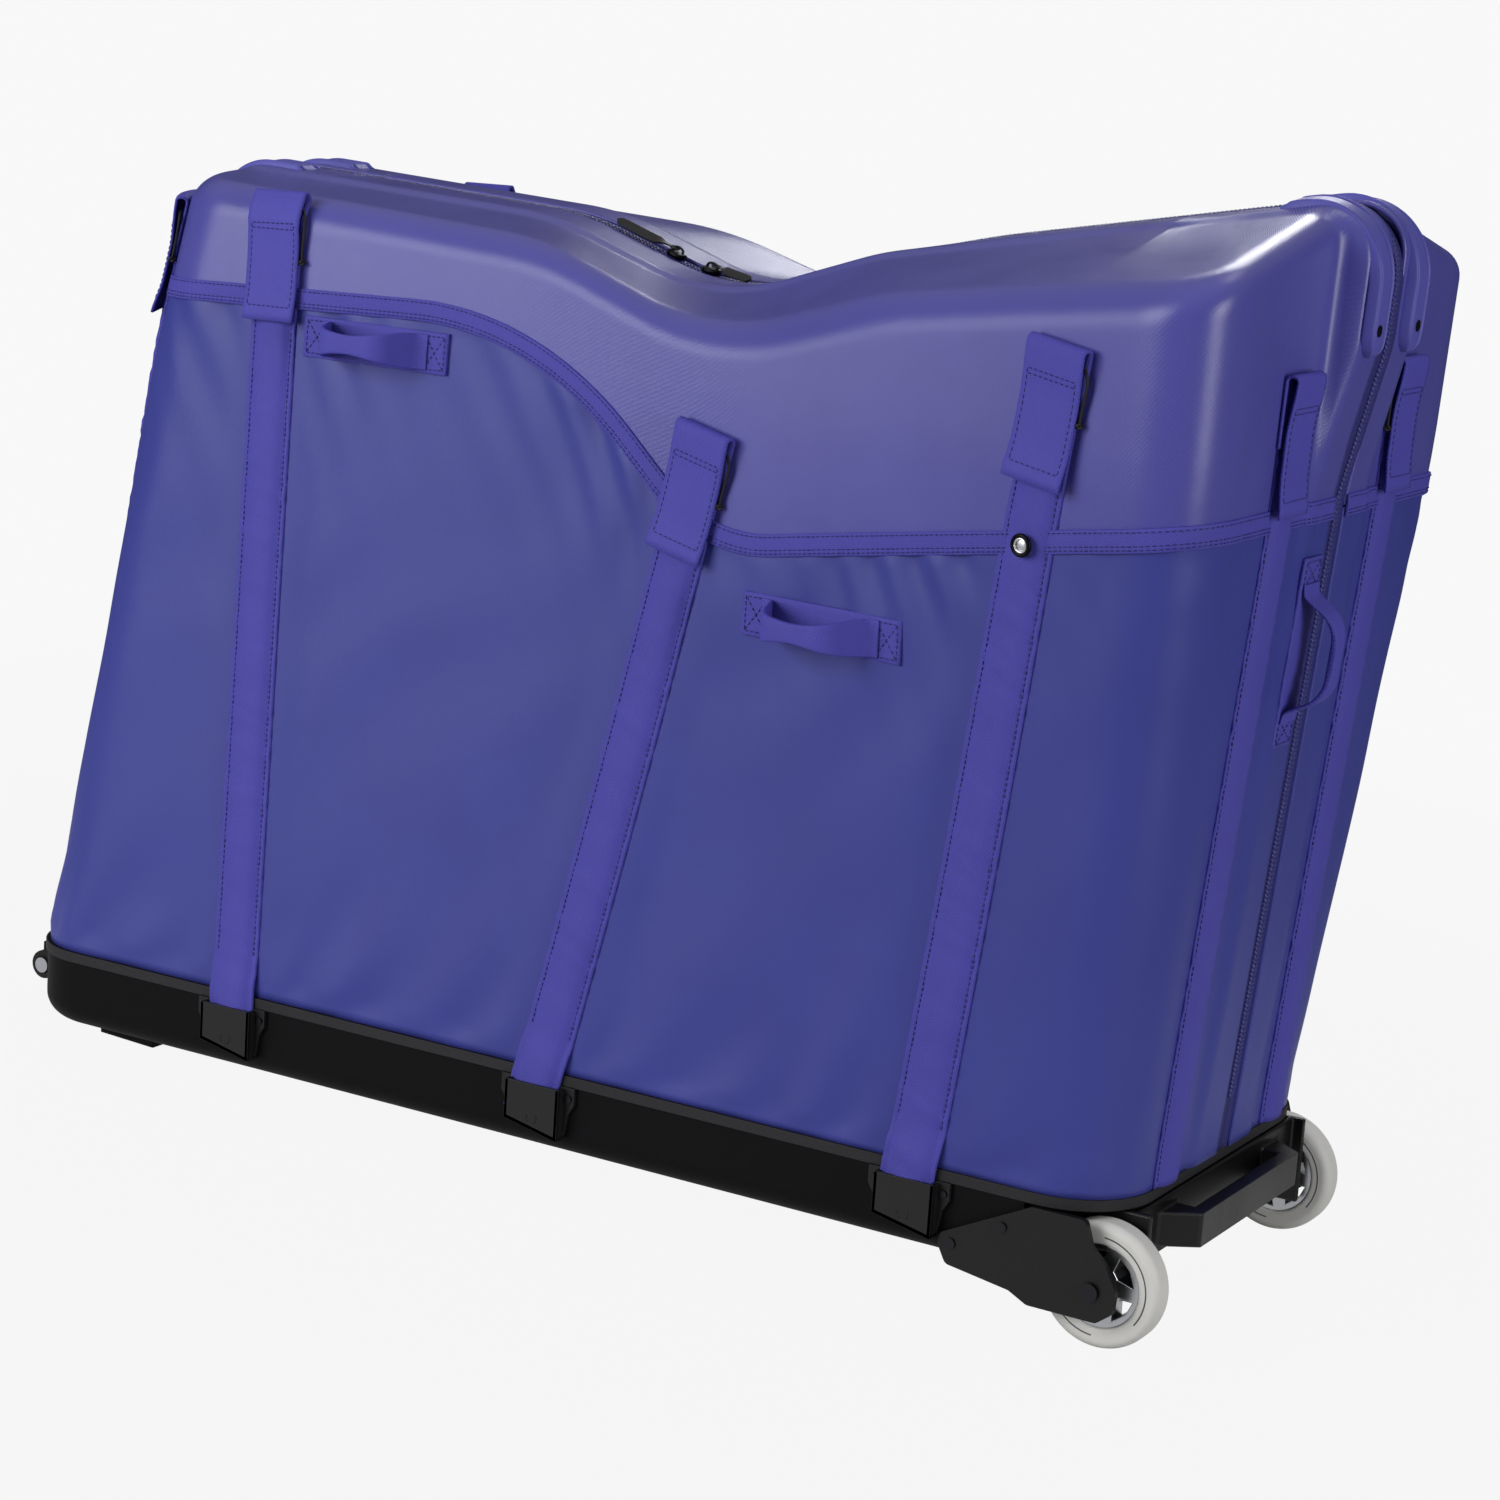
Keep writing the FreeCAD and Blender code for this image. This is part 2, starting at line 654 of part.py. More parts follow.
# Axle bolts and the collars that hold each wheel off its lug and cheek
bolts = []
collars = []
for side, sign in (("near", "-1"), ("far", "1")):
    ends = ["%s * (well_half)" % sign, "%s * (%s + bolt_head)" % (sign, cheek_face),
            "%s * %s" % (sign, cheek_face)]
    lug_face = "%s * (well_half + lug_thickness)" % sign
    hub_in = "%s * (%s - hub_width / 2 - running_gap)" % (sign, wheel_mid)
    hub_out = "%s * (%s + hub_width / 2 + running_gap)" % (sign, wheel_mid)
    cheek_in = "%s * tray_half" % sign
    shaft_span = (ends[1], ends[0]) if side == "near" else (ends[0], ends[1])
    head_span = (ends[1], ends[2]) if side == "near" else (ends[2], ends[1])
    inner_span = (hub_in, lug_face) if side == "near" else (lug_face, hub_in)
    outer_span = (cheek_in, hub_out) if side == "near" else (hub_out, cheek_in)
    at = {"x": "0", "z": "axle_height"}
    shaft = rod(side + "_bolt_shaft", "y", at, "axle_diameter / 2", shaft_span)
    head = rod(side + "_bolt_head", "y", at, "bolt_head_diameter / 2", head_span)
    bolts.append(join(side + "_bolt", [shaft, head]))
    for place, span in (("inner", inner_span), ("outer", outer_span)):
        tube = rod("%s_%s_tube" % (side, place), "y", at, "bolt_head_diameter / 2", span)
        hole = rod("%s_%s_tube_bore" % (side, place), "y", at, "axle_diameter / 2", span)
        collars.append(cut("%s_%s_collar" % (side, place), tube, [hole]))
stand(group("axle_bolts", bolts))
stand(group("axle_collars", collars))

# Strap sockets on the tray sides: a pocket open at the top between two riveted ears
stay_words = ("first", "middle", "last")
sockets = []
for word in stay_words:
    foot = "-%s_stay_foot" % word
    block = box(word + "_socket_block", ("%s - socket_width / 2" % foot, "%s + socket_width / 2" % foot),
                ("-tray_half - socket_depth", "-tray_half"), ("socket_bottom", "socket_top"))
    hollow = box(word + "_socket_hollow", ("%s - sleeve_width / 2 - running_gap" % foot,
                                           "%s + sleeve_width / 2 + running_gap" % foot),
                 ("-tray_half - socket_depth + socket_wall", "-tray_half - socket_wall"),
                 ("socket_bottom + socket_wall", "socket_top + overrun"))
    pocket = cut(word + "_socket_pocket", block, [hollow])
    ears = []
    for place, sign in (("front", "-1"), ("rear", "1")):
        near_edge = "%s + %s * socket_width / 2" % (foot, sign)
        far_edge = "%s + %s * (socket_width / 2 + ear_width)" % (foot, sign)
        span = (far_edge, near_edge) if sign == "-1" else (near_edge, far_edge)
        ears.append(box("%s_ear_%s" % (word, place), span, ("-tray_half - ear_thickness", "-tray_half"),
                        ("socket_top - ear_height", "socket_top")))
        rivet_at = {"x": "%s + %s * (socket_width / 2 + ear_width / 2)" % (foot, sign),
                    "z": "socket_top - ear_height / 2"}
        rivet_pair("%s_ear_rivet_%s" % (word, place), rivet_at, "rivet_diameter / 3",
                   "(tray_half + ear_thickness)")
    sockets.append(join(word + "_socket", [pocket] + ears))
near_sockets = stand(group("near_strap_sockets", sockets))
mirror("far_strap_sockets", near_sockets)
stand(group("base_rivets", rivets))

# Bike stand on the floor board
board_top = "(tray_wall + board_thickness)"
rail_top = "(tray_wall + board_thickness + rail_height)"
rail = body("stand_rail")
body_box(rail, "rail_solid", ("-rail_front", "-rail_rear"), ("-rail_half", "rail_half"),
         (board_top, rail_top))
stand(rail)
fork_mid = "(-rail_rear - fork_block_length / 2)"
fork_top = "(%s + fork_block_height)" % rail_top
axle_at = {"x": fork_mid, "z": "%s - thru_axle_drop" % fork_top}
fork_block = body("fork_block")
body_box(fork_block, "fork_solid", ("-rail_rear - fork_block_length", "-rail_rear"),
         ("-fork_block_half", "fork_block_half"), (rail_top, fork_top))
body_rod(fork_block, "fork_bore", "y", axle_at, "thru_axle_diameter / 2",
         ("-fork_block_half - overrun", "fork_block_half + overrun"), "Subtractive")
stand(fork_block)
thru_axle = body("thru_axle")
body_rod(thru_axle, "thru_axle_solid", "y", axle_at, "thru_axle_diameter / 2",
         ("-thru_axle_half", "thru_axle_half"))
stand(thru_axle)
rest_top = "(%s + rest_height)" % rail_top
rest = body("frame_rest")
body_box(rest, "rest_solid", ("-rest_back - rest_length / 2", "-rest_back + rest_length / 2"),
         ("-rest_half", "rest_half"), (rail_top, rest_top))
body_rod(rest, "rest_notch", "x", {"y": "0", "z": rest_top}, "rest_notch_diameter / 2",
         ("-rest_back - rest_length", "-rest_back + rest_length"), "Subtractive")
stand(rest)


# Walls of one half, near side: lengths below are read from the sheet


def read(word):
    return num(word)


foot_z = read("wall_foot")
levels = [
    (foot_z, read("tray_left"), read("tray_right"), read("tray_half"), read("tray_half")),
    (read("waist_height"), read("waist_left"), read("waist_right"), read("waist_half_left"),
     read("waist_half_right")),
    (read("crown_height"), read("crown_left"), read("crown_right"), read("crown_half_left"),
     read("crown_half_right")),
]
flare = -read("flare_start")
corner = read("tray_corner")
overrun = read("overrun")
half_turn_share = math.sqrt(0.5)


def plan_wire(level, grow, drop=0):
    """Outline of the near half at one height, grown outward, with a straight side that then flares."""
    z, left, right, half_left, half_right = level
    z -= drop
    left, right = -left - grow, right + grow
    half_left, half_right, turn = half_left + grow, half_right + grow, corner + grow

    def at(x, y):
        return Vector(x, -y, z)

    def bend(x, y, dx, dy):
        return at(x + turn * dx, y + turn * dy)

    first, second = at(left, half_left - turn), at(left + turn, half_left)
    front_bend = bend(left + turn, half_left - turn, -half_turn_share, half_turn_share)
    third, fourth = at(flare, half_left), at(right - turn, half_right)
    rear_bend = bend(right - turn, half_right - turn, half_turn_share, half_turn_share)
    fifth = at(right, half_right - turn)
    middle = at((flare + right - turn) / 2, half_left + (half_right - half_left) / 4)
    flat = half_left == half_right
    edges = [
        Part.LineSegment(at(left, 0), first).toShape(),
        Part.Arc(first, front_bend, second).toShape(),
        Part.LineSegment(second, third).toShape(),
        (Part.LineSegment(third, fourth) if flat else Part.Arc(third, middle, fourth)).toShape(),
        Part.Arc(fourth, rear_bend, fifth).toShape(),
        Part.LineSegment(fifth, at(right, 0)).toShape(),
        Part.LineSegment(at(right, 0), at(left, 0)).toShape(),
    ]
    return Part.Wire(edges)


def trunk(grow, drop=0):
    """Solid inside the wall outline from the rim to the crown."""
    wires = [plan_wire(levels[0], grow, drop), plan_wire(levels[1], grow), plan_wire(levels[2], grow)]
    return Part.makeLoft(wires, True, True)


def grown_path(points, grow):
    """Move each straight run of a path outward, to the left of its travel, and meet them again."""
    lines = []
    for (ax, az), (bx, bz) in zip(points, points[1:]):
        length = math.hypot(bx - ax, bz - az)
        nx, nz = (az - bz) / length, (bx - ax) / length
        lines.append((ax + nx * grow, az + nz * grow, (bx - ax) / length, (bz - az) / length))
    moved = [(lines[0][0], lines[0][1])]
    for (ax, az, ux, uz), (bx, bz, vx, vz) in zip(lines, lines[1:]):
        cross = ux * vz - uz * vx
        along = ((bx - ax) * vz - (bz - az) * vx) / cross
        moved.append((ax + ux * along, az + uz * along))
    ax, az, ux, uz = lines[-1]
    end_x, end_z = points[-1]
    along = (end_x - ax) * ux + (end_z - az) * uz
    moved.append((ax + ux * along, az + uz * along))
    return moved


def rounded_path(points, rounds, grow=0, y=0):
    """Edges of a path of straight runs with an arc at each inner point, grown outward."""
    moved = grown_path(points, grow) if grow else points
    edges = []
    start = Vector(moved[0][0], y, moved[0][1])
    for i in range(1, len(moved) - 1):
        here = Vector(moved[i][0], y, moved[i][1])
        back = (Vector(moved[i - 1][0], y, moved[i - 1][1]) - here).normalize()
        on = (Vector(moved[i + 1][0], y, moved[i + 1][1]) - here).normalize()
        right_hand = back.x * on.z - back.z * on.x
        radius = rounds[i - 1] + (grow if right_hand > 0 else -grow)
        half = back.getAngle(on) / 2
        reach = radius / math.tan(half)
        away = radius / math.sin(half)
        middle = here + (back + on).normalize() * (away - radius)
        begin, end = here + back * reach, here + on * reach
        edges.append(Part.LineSegment(start, begin).toShape())
        edges.append(Part.Arc(begin, middle, end).toShape())
        start = end
    edges.append(Part.LineSegment(start, Vector(moved[-1][0], y, moved[-1][1])).toShape())
    return edges


def ends_of(edges):
    first = edges[0].valueAt(edges[0].FirstParameter)
    last = edges[-1].valueAt(edges[-1].LastParameter)
    return first, last


def band(points, rounds, low, high, y_low, y_high):
    """Strip that follows a path between two distances from it and two places across the case."""
    inner = rounded_path(points, rounds, low, y_low)
    outer = rounded_path(points, rounds, high, y_low)
    inner_ends, outer_ends = ends_of(inner), ends_of(outer)
    caps = [Part.LineSegment(inner_ends[0], outer_ends[0]).toShape(),
            Part.LineSegment(inner_ends[1], outer_ends[1]).toShape()]
    wire = Part.Wire(Part.sortEdges(inner + outer + caps)[0])
    return Part.Face(wire).extrude(Vector(0, y_high - y_low, 0))


lift = read("spine_lift")
spine_points = [
    (-read("tray_left") - lift, foot_z),
    (-read("waist_left") - lift, read("waist_height")),
    (-read("crown_left") - read("front_top_reach"), read("front_top_height")),
    (-read("knee_back"), read("knee_height")),
    (-read("dip_back"), read("dip_height")),
    (-read("rise_back"), read("rise_height")),
    (read("crown_right") + read("rear_top_reach"), read("rear_top_height")),
    (read("crown_right") + read("rear_step_reach"), read("rear_step_height")),
    (read("waist_right") + lift, read("waist_height")),
    (read("tray_right") + lift, foot_z),
]
round_words = ("end_round", "front_top_round", "knee_round", "dip_round", "rise_round", "rear_top_round",
               "end_round", "end_round")
spine_rounds = [read(word) for word in round_words]
spine_half = read("spine_half")
roof_fall_share = 0.12
roof_sweep_share = 0.6


def under(edges, drop, width):
    """Solid below a path whose ends stand at one level, from the mid-plane out to a width."""
    first, last = ends_of(edges)
    low_first, low_last = first - Vector(0, 0, drop), last - Vector(0, 0, drop)
    sides = [Part.LineSegment(low_last, low_first).toShape()]
    if drop:
        sides += [Part.LineSegment(last, low_last).toShape(), Part.LineSegment(low_first, first).toShape()]
    wire = Part.Wire(Part.sortEdges(edges + sides)[0])
    return Part.Face(wire).extrude(Vector(0, -width, 0))


def spine(grow, drop=0):
    """Raised band that carries the zip."""
    return under(rounded_path(spine_points, spine_rounds, grow), drop, spine_half + grow)


def end_room(grow, drop=0):
    """Everything between the rounded ends of the spine, left open above the dip."""
    top = 2 * read("rear_top_height")
    open_top = [(-read("knee_back"), top), (-read("rise_back"), top)]
    points = spine_points[:4] + open_top + spine_points[5:]
    rounds = spine_rounds[:2] + [corner] * 4 + spine_rounds[5:]
    return under(rounded_path(points, rounds, grow), drop, 2 * read("crown_half_right"))


def roof(grow, drop=0):
    """Everything under the top, which falls away from the spine's edge and sweeps towards the wheel end."""
    far_left = (-2 * read("tray_left"), read("front_top_height"))
    slope = (read("rear_top_height") - read("rise_height")) / (spine_points[6][0] + read("rise_back"))
    far_right_x = read("tray_left")
    far_right = (far_right_x, read("rise_height") + slope * (far_right_x + read("rise_back")))
    points = [far_left] + spine_points[2:6] + [far_right]
    edges = rounded_path(points, [read("tray_left")] + spine_rounds[2:5], 0, -spine_half)
    first, last = ends_of(edges)
    low_z = foot_z - drop - overrun
    low_first, low_last = Vector(first.x, first.y, low_z), Vector(last.x, last.y, low_z)
    sides = [Part.LineSegment(last, low_last).toShape(), Part.LineSegment(low_last, low_first).toShape(),
             Part.LineSegment(low_first, first).toShape()]
    face = Part.Face(Part.Wire(Part.sortEdges(edges + sides)[0]))
    face.translate(Vector(0, 0, grow))
    reach = read("crown_half_right") + corner
    outward = Vector(roof_sweep_share * reach, -reach, -roof_fall_share * reach)
    return face.extrude(outward).fuse(face.extrude(Vector(0, spine_half, 0)))


def hull(grow, drop=0):
    """Outer form of the near half, grown outward."""
    sides = trunk(grow, drop).common(roof(grow, drop)).common(end_room(grow, drop))
    return sides.fuse(spine(grow, drop)).removeSplitter()


outer = hull(0)
wall = outer.cut(hull(-read("wall_thickness"), overrun))
reach = 2 * read("tray_left")
zip_half = read("zip_half")
room = Part.makeBox(2 * reach, reach, reach, Vector(-reach, -zip_half, -read("rim_height")))
wall = wall.cut(room)

front_fall = (read("hem_high") - read("hem_front_height")) / (read("tray_left") - read("hem_high_back"))
rear_rise = (read("hem_rear_height") - read("hem_low")) / (read("waist_right") + read("hem_low_back"))
hem_points = [
    (-reach, read("hem_high") - front_fall * (reach - read("hem_high_back"))),
    (-read("hem_high_back"), read("hem_high")),
    (-read("hem_low_back"), read("hem_low")),
    (reach, read("hem_low") + rear_rise * (reach + read("hem_low_back"))),
]
hem_rounds = [read("hem_high_round"), read("hem_low_round")]


def above_hem(grow):
    edges = rounded_path(hem_points, hem_rounds, grow)
    first, last = ends_of(edges)
    top = last.z + reach
    sides = [Part.LineSegment(last, Vector(last.x, 0, top)).toShape(),
             Part.LineSegment(Vector(last.x, 0, top), Vector(first.x, 0, top)).toShape(),
             Part.LineSegment(Vector(first.x, 0, top), first).toShape()]
    return Part.Face(Part.Wire(Part.sortEdges(edges + sides)[0])).extrude(Vector(0, -reach, 0))


upper = above_hem(0)
near_shell = feature("near_upper_shell", wall.common(upper))
near_fabric = feature("near_fabric_wall", wall.cut(upper))
hem_half = read("hem_tape_width") / 2
hem_zone = above_hem(-hem_half).cut(above_hem(hem_half))
hem_skin = hull(read("hem_tape_thickness")).cut(outer).cut(room)
hem_tape = hem_skin.common(hem_zone)

# Sleeves, stays, caps and cord ends, cut from layers that lie on the wall


def strip_side(low, high, width, y_far):
    """Strip seen from the side between two points, reaching outward across the near wall."""
    (ax, az), (bx, bz) = low, high
    length = math.hypot(bx - ax, bz - az)
    px, pz = (bz - az) / length * width / 2, (ax - bx) / length * width / 2
    corners = [Vector(ax - px, 0, az - pz), Vector(bx - px, 0, bz - pz), Vector(bx + px, 0, bz + pz),
               Vector(ax + px, 0, az + pz)]
    return Part.Face(Part.makePolygon(corners + corners[:1])).extrude(Vector(0, -y_far, 0))


def strip_end(low, high, width, x_from, x_to):
    """Strip seen from the end between two points of Y and Z, reaching outward along the case."""
    (ay, az), (by, bz) = low, high
    length = math.hypot(by - ay, bz - az)
    py, pz = (bz - az) / length * width / 2, (ay - by) / length * width / 2
    corners = [Vector(x_from, ay - py, az - pz), Vector(x_from, by - py, bz - pz),
               Vector(x_from, by + py, bz + pz), Vector(x_from, ay + py, az + pz)]
    return Part.Face(Part.makePolygon(corners + corners[:1])).extrude(Vector(x_to - x_from, 0, 0))


def part_way(low, high, share):
    return low[0] + (high[0] - low[0]) * share, low[1] + (high[1] - low[1]) * share


def shifted(point, low, high, sideways):
    """Move a point sideways from the run between two others."""
    length = math.hypot(high[0] - low[0], high[1] - low[1])
    step = sideways / length
    return point[0] + (high[1] - low[1]) * step, point[1] - (high[0] - low[0]) * step


sleeve_thickness = read("sleeve_thickness")
stay_cover = read("stay_cover")
stay_thickness = read("stay_thickness")
cap_thickness = read("cap_thickness")
stay_outside = stay_cover + stay_thickness
cap_outside = sleeve_thickness + cap_thickness
skins = {grow: trunk(grow) for grow in (0, stay_cover, stay_outside, sleeve_thickness, cap_outside)}
side_reach = 2 * read("crown_half_right")
side_runs = []
for word in stay_words:
    head = (-read(word + "_stay_head"), read(word + "_stay_height"))
    side_runs.append(((-read(word + "_stay_foot"), foot_z), head))
end_foot, end_head = -read("end_stay_foot"), -read("end_stay_head")
rear_run = ((end_foot, foot_z), (end_head, read("rear_stay_height")))
front_run = ((end_foot, foot_z), (end_head, read("front_stay_height")))
middle_x = -read("tray_left") / 2


def strip(kind, low, high, width):
    if kind == "side":
        return strip_side(low, high, width, side_reach)
    if kind == "rear":
        return strip_end(low, high, width, middle_x, read("tray_left"))
    return strip_end(low, high, width, middle_x, -2 * read("tray_left"))


def layer(mask, low, high):
    return mask.common(skins[high]).cut(skins[low])


runs = [("side", run) for run in side_runs] + [("rear", rear_run), ("front", front_run)]
sleeves, stays, caps, cords = [], [], [], []
for kind, (low, high) in runs:
    length = math.hypot(high[0] - low[0], high[1] - low[1])
    below = (low[0] - (high[0] - low[0]) / length * overrun, low[1] - (high[1] - low[1]) / length * overrun)
    tip = part_way(low, high, 1 - read("cap_overhang") / length)
    stay_low = part_way(low, high, read("stay_end_margin") / length)
    stay_high = part_way(low, tip, 1 - read("stay_end_margin") / length)
    stay = layer(strip(kind, stay_low, stay_high, read("stay_width")), stay_cover, stay_outside)
    sleeve = layer(strip(kind, below, tip, read("sleeve_width")), 0, sleeve_thickness).cut(stay)
    cap_low = part_way(low, high, 1 - read("cap_length") / length)
    cap = layer(strip(kind, cap_low, high, read("cap_width")), sleeve_thickness, cap_outside)
    aside = (read("sleeve_width") + read("cord_width")) / 2
    cord_low = shifted(part_way(low, tip, 1 - read("cord_length") / length), low, high, aside)
    cord_high = shifted(tip, low, high, aside)
    cord = layer(strip(kind, cord_low, cord_high, read("cord_width")), 0, stay_outside)
    stays.append(stay)
    sleeves.append(sleeve)
    caps.append(cap)
    cords.append(cord)
sleeve_block = Part.makeCompound(sleeves + stays + cords)



def face_y(skin, x, z):
    """Where a line across the case leaves a skin on the near side."""
    line = Part.makeLine(Vector(x, -overrun, z), Vector(x, -side_reach, z))
    return line.common(skin).BoundBox.YMin


def face_at(skin, x, z, step_x, step_z):
    """A point on the near face of a skin, with the ways along it and out from it."""
    rate_x = (face_y(skin, x + step_x, z) - face_y(skin, x - step_x, z)) / (2 * step_x)
    rate_z = (face_y(skin, x, z + step_z) - face_y(skin, x, z - step_z)) / (2 * step_z)
    out = Vector(rate_x, -1, rate_z).normalize()
    return Vector(x, face_y(skin, x, z), z), Vector(1, rate_x, 0).normalize(), out


# Eyelet on the last sleeve
low, high = side_runs[-1]
eyelet_share = (read("eyelet_height") - low[1]) / (high[1] - low[1])
eyelet_x, eyelet_z = part_way(low, high, eyelet_share)
eyelet_step = read("eyelet_hole")
sleeve_skin = skins[sleeve_thickness]
eyelet_on, eyelet_along, eyelet_way = face_at(sleeve_skin, eyelet_x, eyelet_z, eyelet_step, eyelet_step)
eyelet_at = eyelet_on + eyelet_way * read("running_gap")
eyelet_rod = Part.makeCylinder(read("eyelet_diameter") / 2, read("eyelet_thickness"), eyelet_at, eyelet_way)
eyelet_bore = Part.makeCylinder(read("eyelet_hole") / 2, read("eyelet_thickness"), eyelet_at, eyelet_way)
eyelet = eyelet_rod.cut(eyelet_bore)

# Handles: a sewn patch with two raised ears, and a webbing loop that swings between the ears
loop_half, loop_reach = read("loop_half"), read("loop_reach")
loop_slope, loop_width = read("loop_slope"), read("loop_width")
ear_gap, ear_depth = read("ear_gap"), read("ear_depth")
patch_half, patch_height = read("patch_half"), read("patch_height")
patch_skin = trunk(read("patch_thickness"))
ear_skin = trunk(read("ear_reach"))


def loop_shape():
    """Webbing arch along X that stands out towards +Z, from root to root, with its width across Y."""
    points = [(-loop_half, 0), (-loop_half + loop_slope, loop_reach), (loop_half - loop_slope, loop_reach),
              (loop_half, 0)]
    rounds = [read("loop_round")] * 2
    return band(points, rounds, -read("loop_thickness"), 0, -loop_width / 2, loop_width / 2)


def ears():
    """The two raised ears of a handle, in the loop's own place, rooted below the wall's face."""
    found = []
    for near_x in (-loop_half - ear_gap - ear_depth, loop_half + ear_gap):
        found.append(Part.makeBox(ear_depth, loop_width, ear_depth + read("ear_reach"),
                                  Vector(near_x, -loop_width / 2, -ear_depth)))
    return Part.makeCompound(found)


def block_side(x_low, x_high, z_low, z_high):
    return Part.makeBox(x_high - x_low, side_reach, z_high - z_low, Vector(x_low, -side_reach, z_low))


patches = []
loops = {}
for word in ("front", "rear"):
    mid_x, mid_z = -read(word + "_handle_back"), read(word + "_handle_height")
    low_z, high_z = mid_z - patch_height / 2, mid_z + patch_height / 2
    patch = block_side(mid_x - patch_half, mid_x + patch_half, low_z, high_z).common(patch_skin)
    handle_on, handle_along, handle_out = face_at(skins[0], mid_x, mid_z, loop_half, loop_width / 2)
    handle_turn = Rotation(handle_along, handle_out.cross(handle_along), handle_out, "ZXY")
    handle_ears = ears()
    handle_ears.Placement = Placement(handle_on, handle_turn)
    patches.append(patch.fuse(handle_ears.Solids).cut(skins[0]).removeSplitter())
    loop = loop_shape()
    loop.Placement = Placement(handle_on + handle_out * read("loop_axis"), handle_turn)
    loops["near_%s_handle_loop" % word] = Part.makeCompound([loop])

# Upright handle on the spine of the wheel end
end_turn = math.radians(num("end_turn"))
end_mid_z = read("end_handle_height")
rise_share = (end_mid_z - foot_z) / (read("waist_height") - foot_z)
end_mid_x = spine_points[-1][0] + (spine_points[-2][0] - spine_points[-1][0]) * rise_share
end_mid_y = -read("end_handle_side")


def on_end(shape):
    """Turn a piece laid out along X and standing on +Z so that it lies on the wheel end's wall."""
    shape.rotate(Vector(0, 0, 0), Vector(0, 1, 0), 90 + math.degrees(end_turn))
    shape.translate(Vector(end_mid_x, end_mid_y, end_mid_z))
    return shape


end_patch = on_end(Part.makeBox(2 * patch_half, patch_height, read("patch_thickness"),
                                Vector(-patch_half, -patch_height / 2, 0)))
end_patch = end_patch.fuse(on_end(ears()).Solids)
end_loop = loop_shape()
end_loop.translate(Vector(0, 0, read("loop_axis")))
loops["near_end_handle_loop"] = Part.makeCompound([on_end(end_loop)])
end_patch = end_patch.cut(outer)
far_patches = [patch.mirror(Vector(0, 0, 0), Vector(0, 1, 0)) for patch in patches]

hem_tape = hem_tape.cut(sleeve_block)
near_hem = feature("near_hem_tape", hem_tape)
near_sleeves = feature("near_stay_sleeves", Part.makeCompound(sleeves))
near_stays = feature("near_stays", Part.makeCompound(stays))
near_caps = feature("near_stay_caps", Part.makeCompound(caps))
near_cords = feature("near_cord_ends", Part.makeCompound(cords))
near_eyelet = feature("near_eyelet", eyelet)
feature("near_handle_patches", Part.makeCompound(patches + [end_patch]))
feature("far_handle_patches", Part.makeCompound(far_patches))
loop_nodes = {name: feature(name, shape) for name, shape in loops.items()}

# Zip tape, chain and corner guards follow the spine
split = -read("zip_split")
guard_sides = (-read("guard_outer"), -read("guard_inner"))
guard_thickness = read("guard_thickness")


def on_spine(low, high, y_low, y_high):
    return band(spine_points, spine_rounds, low, high, y_low, y_high)


near_tape = feature("near_zip_tape", on_spine(-read("tape_thickness"), 0, -zip_half, split))
near_chain = feature("near_zip_chain", on_spine(0, read("chain_height"), -read("chain_half"), split))
guard_band = on_spine(0, guard_thickness, *guard_sides)
guard_z = read("guard_bottom")
run = read("guard_run")
rear_edge, front_edge = spine_points[6][0], spine_points[2][0]
rear_room = Part.makeBox(reach, reach, reach, Vector(rear_edge - run, -reach / 2, guard_z))
front_room = Part.makeBox(reach, reach, reach, Vector(front_edge + run - reach, -reach / 2, guard_z))
guards = [guard_band.common(front_room), guard_band.common(rear_room)]
screws = []
for guard, sign in zip(guards, (-1, 1)):
    screw_at = Vector(guard.BoundBox.Center.x, -read("guard_screw_side"), read("guard_screw_height"))
    shaft = Part.makeCylinder(read("guard_screw_diameter") / 2, run, screw_at, Vector(sign, 0, 0))
    skin = on_spine(guard_thickness / 2, guard_thickness + read("guard_screw_stand"), *guard_sides)
    screws.append(shaft.common(skin))
guards = [guard.cut(screw) for guard, screw in zip(guards, screws)]
near_guards = feature("near_corner_guards", Part.makeCompound(guards))
near_screws = feature("near_guard_screws", Part.makeCompound(screws))

# The far half repeats the near one
side_loops = [loop_nodes["near_%s_handle_loop" % word] for word in ("front", "rear")]
for twin_of in [near_shell, near_fabric, near_hem, near_sleeves, near_stays, near_caps, near_cords,
                near_eyelet, near_tape, near_chain, near_guards, near_screws] + side_loops:
    mirror(twin_of.Label.replace("near", "far"), twin_of)

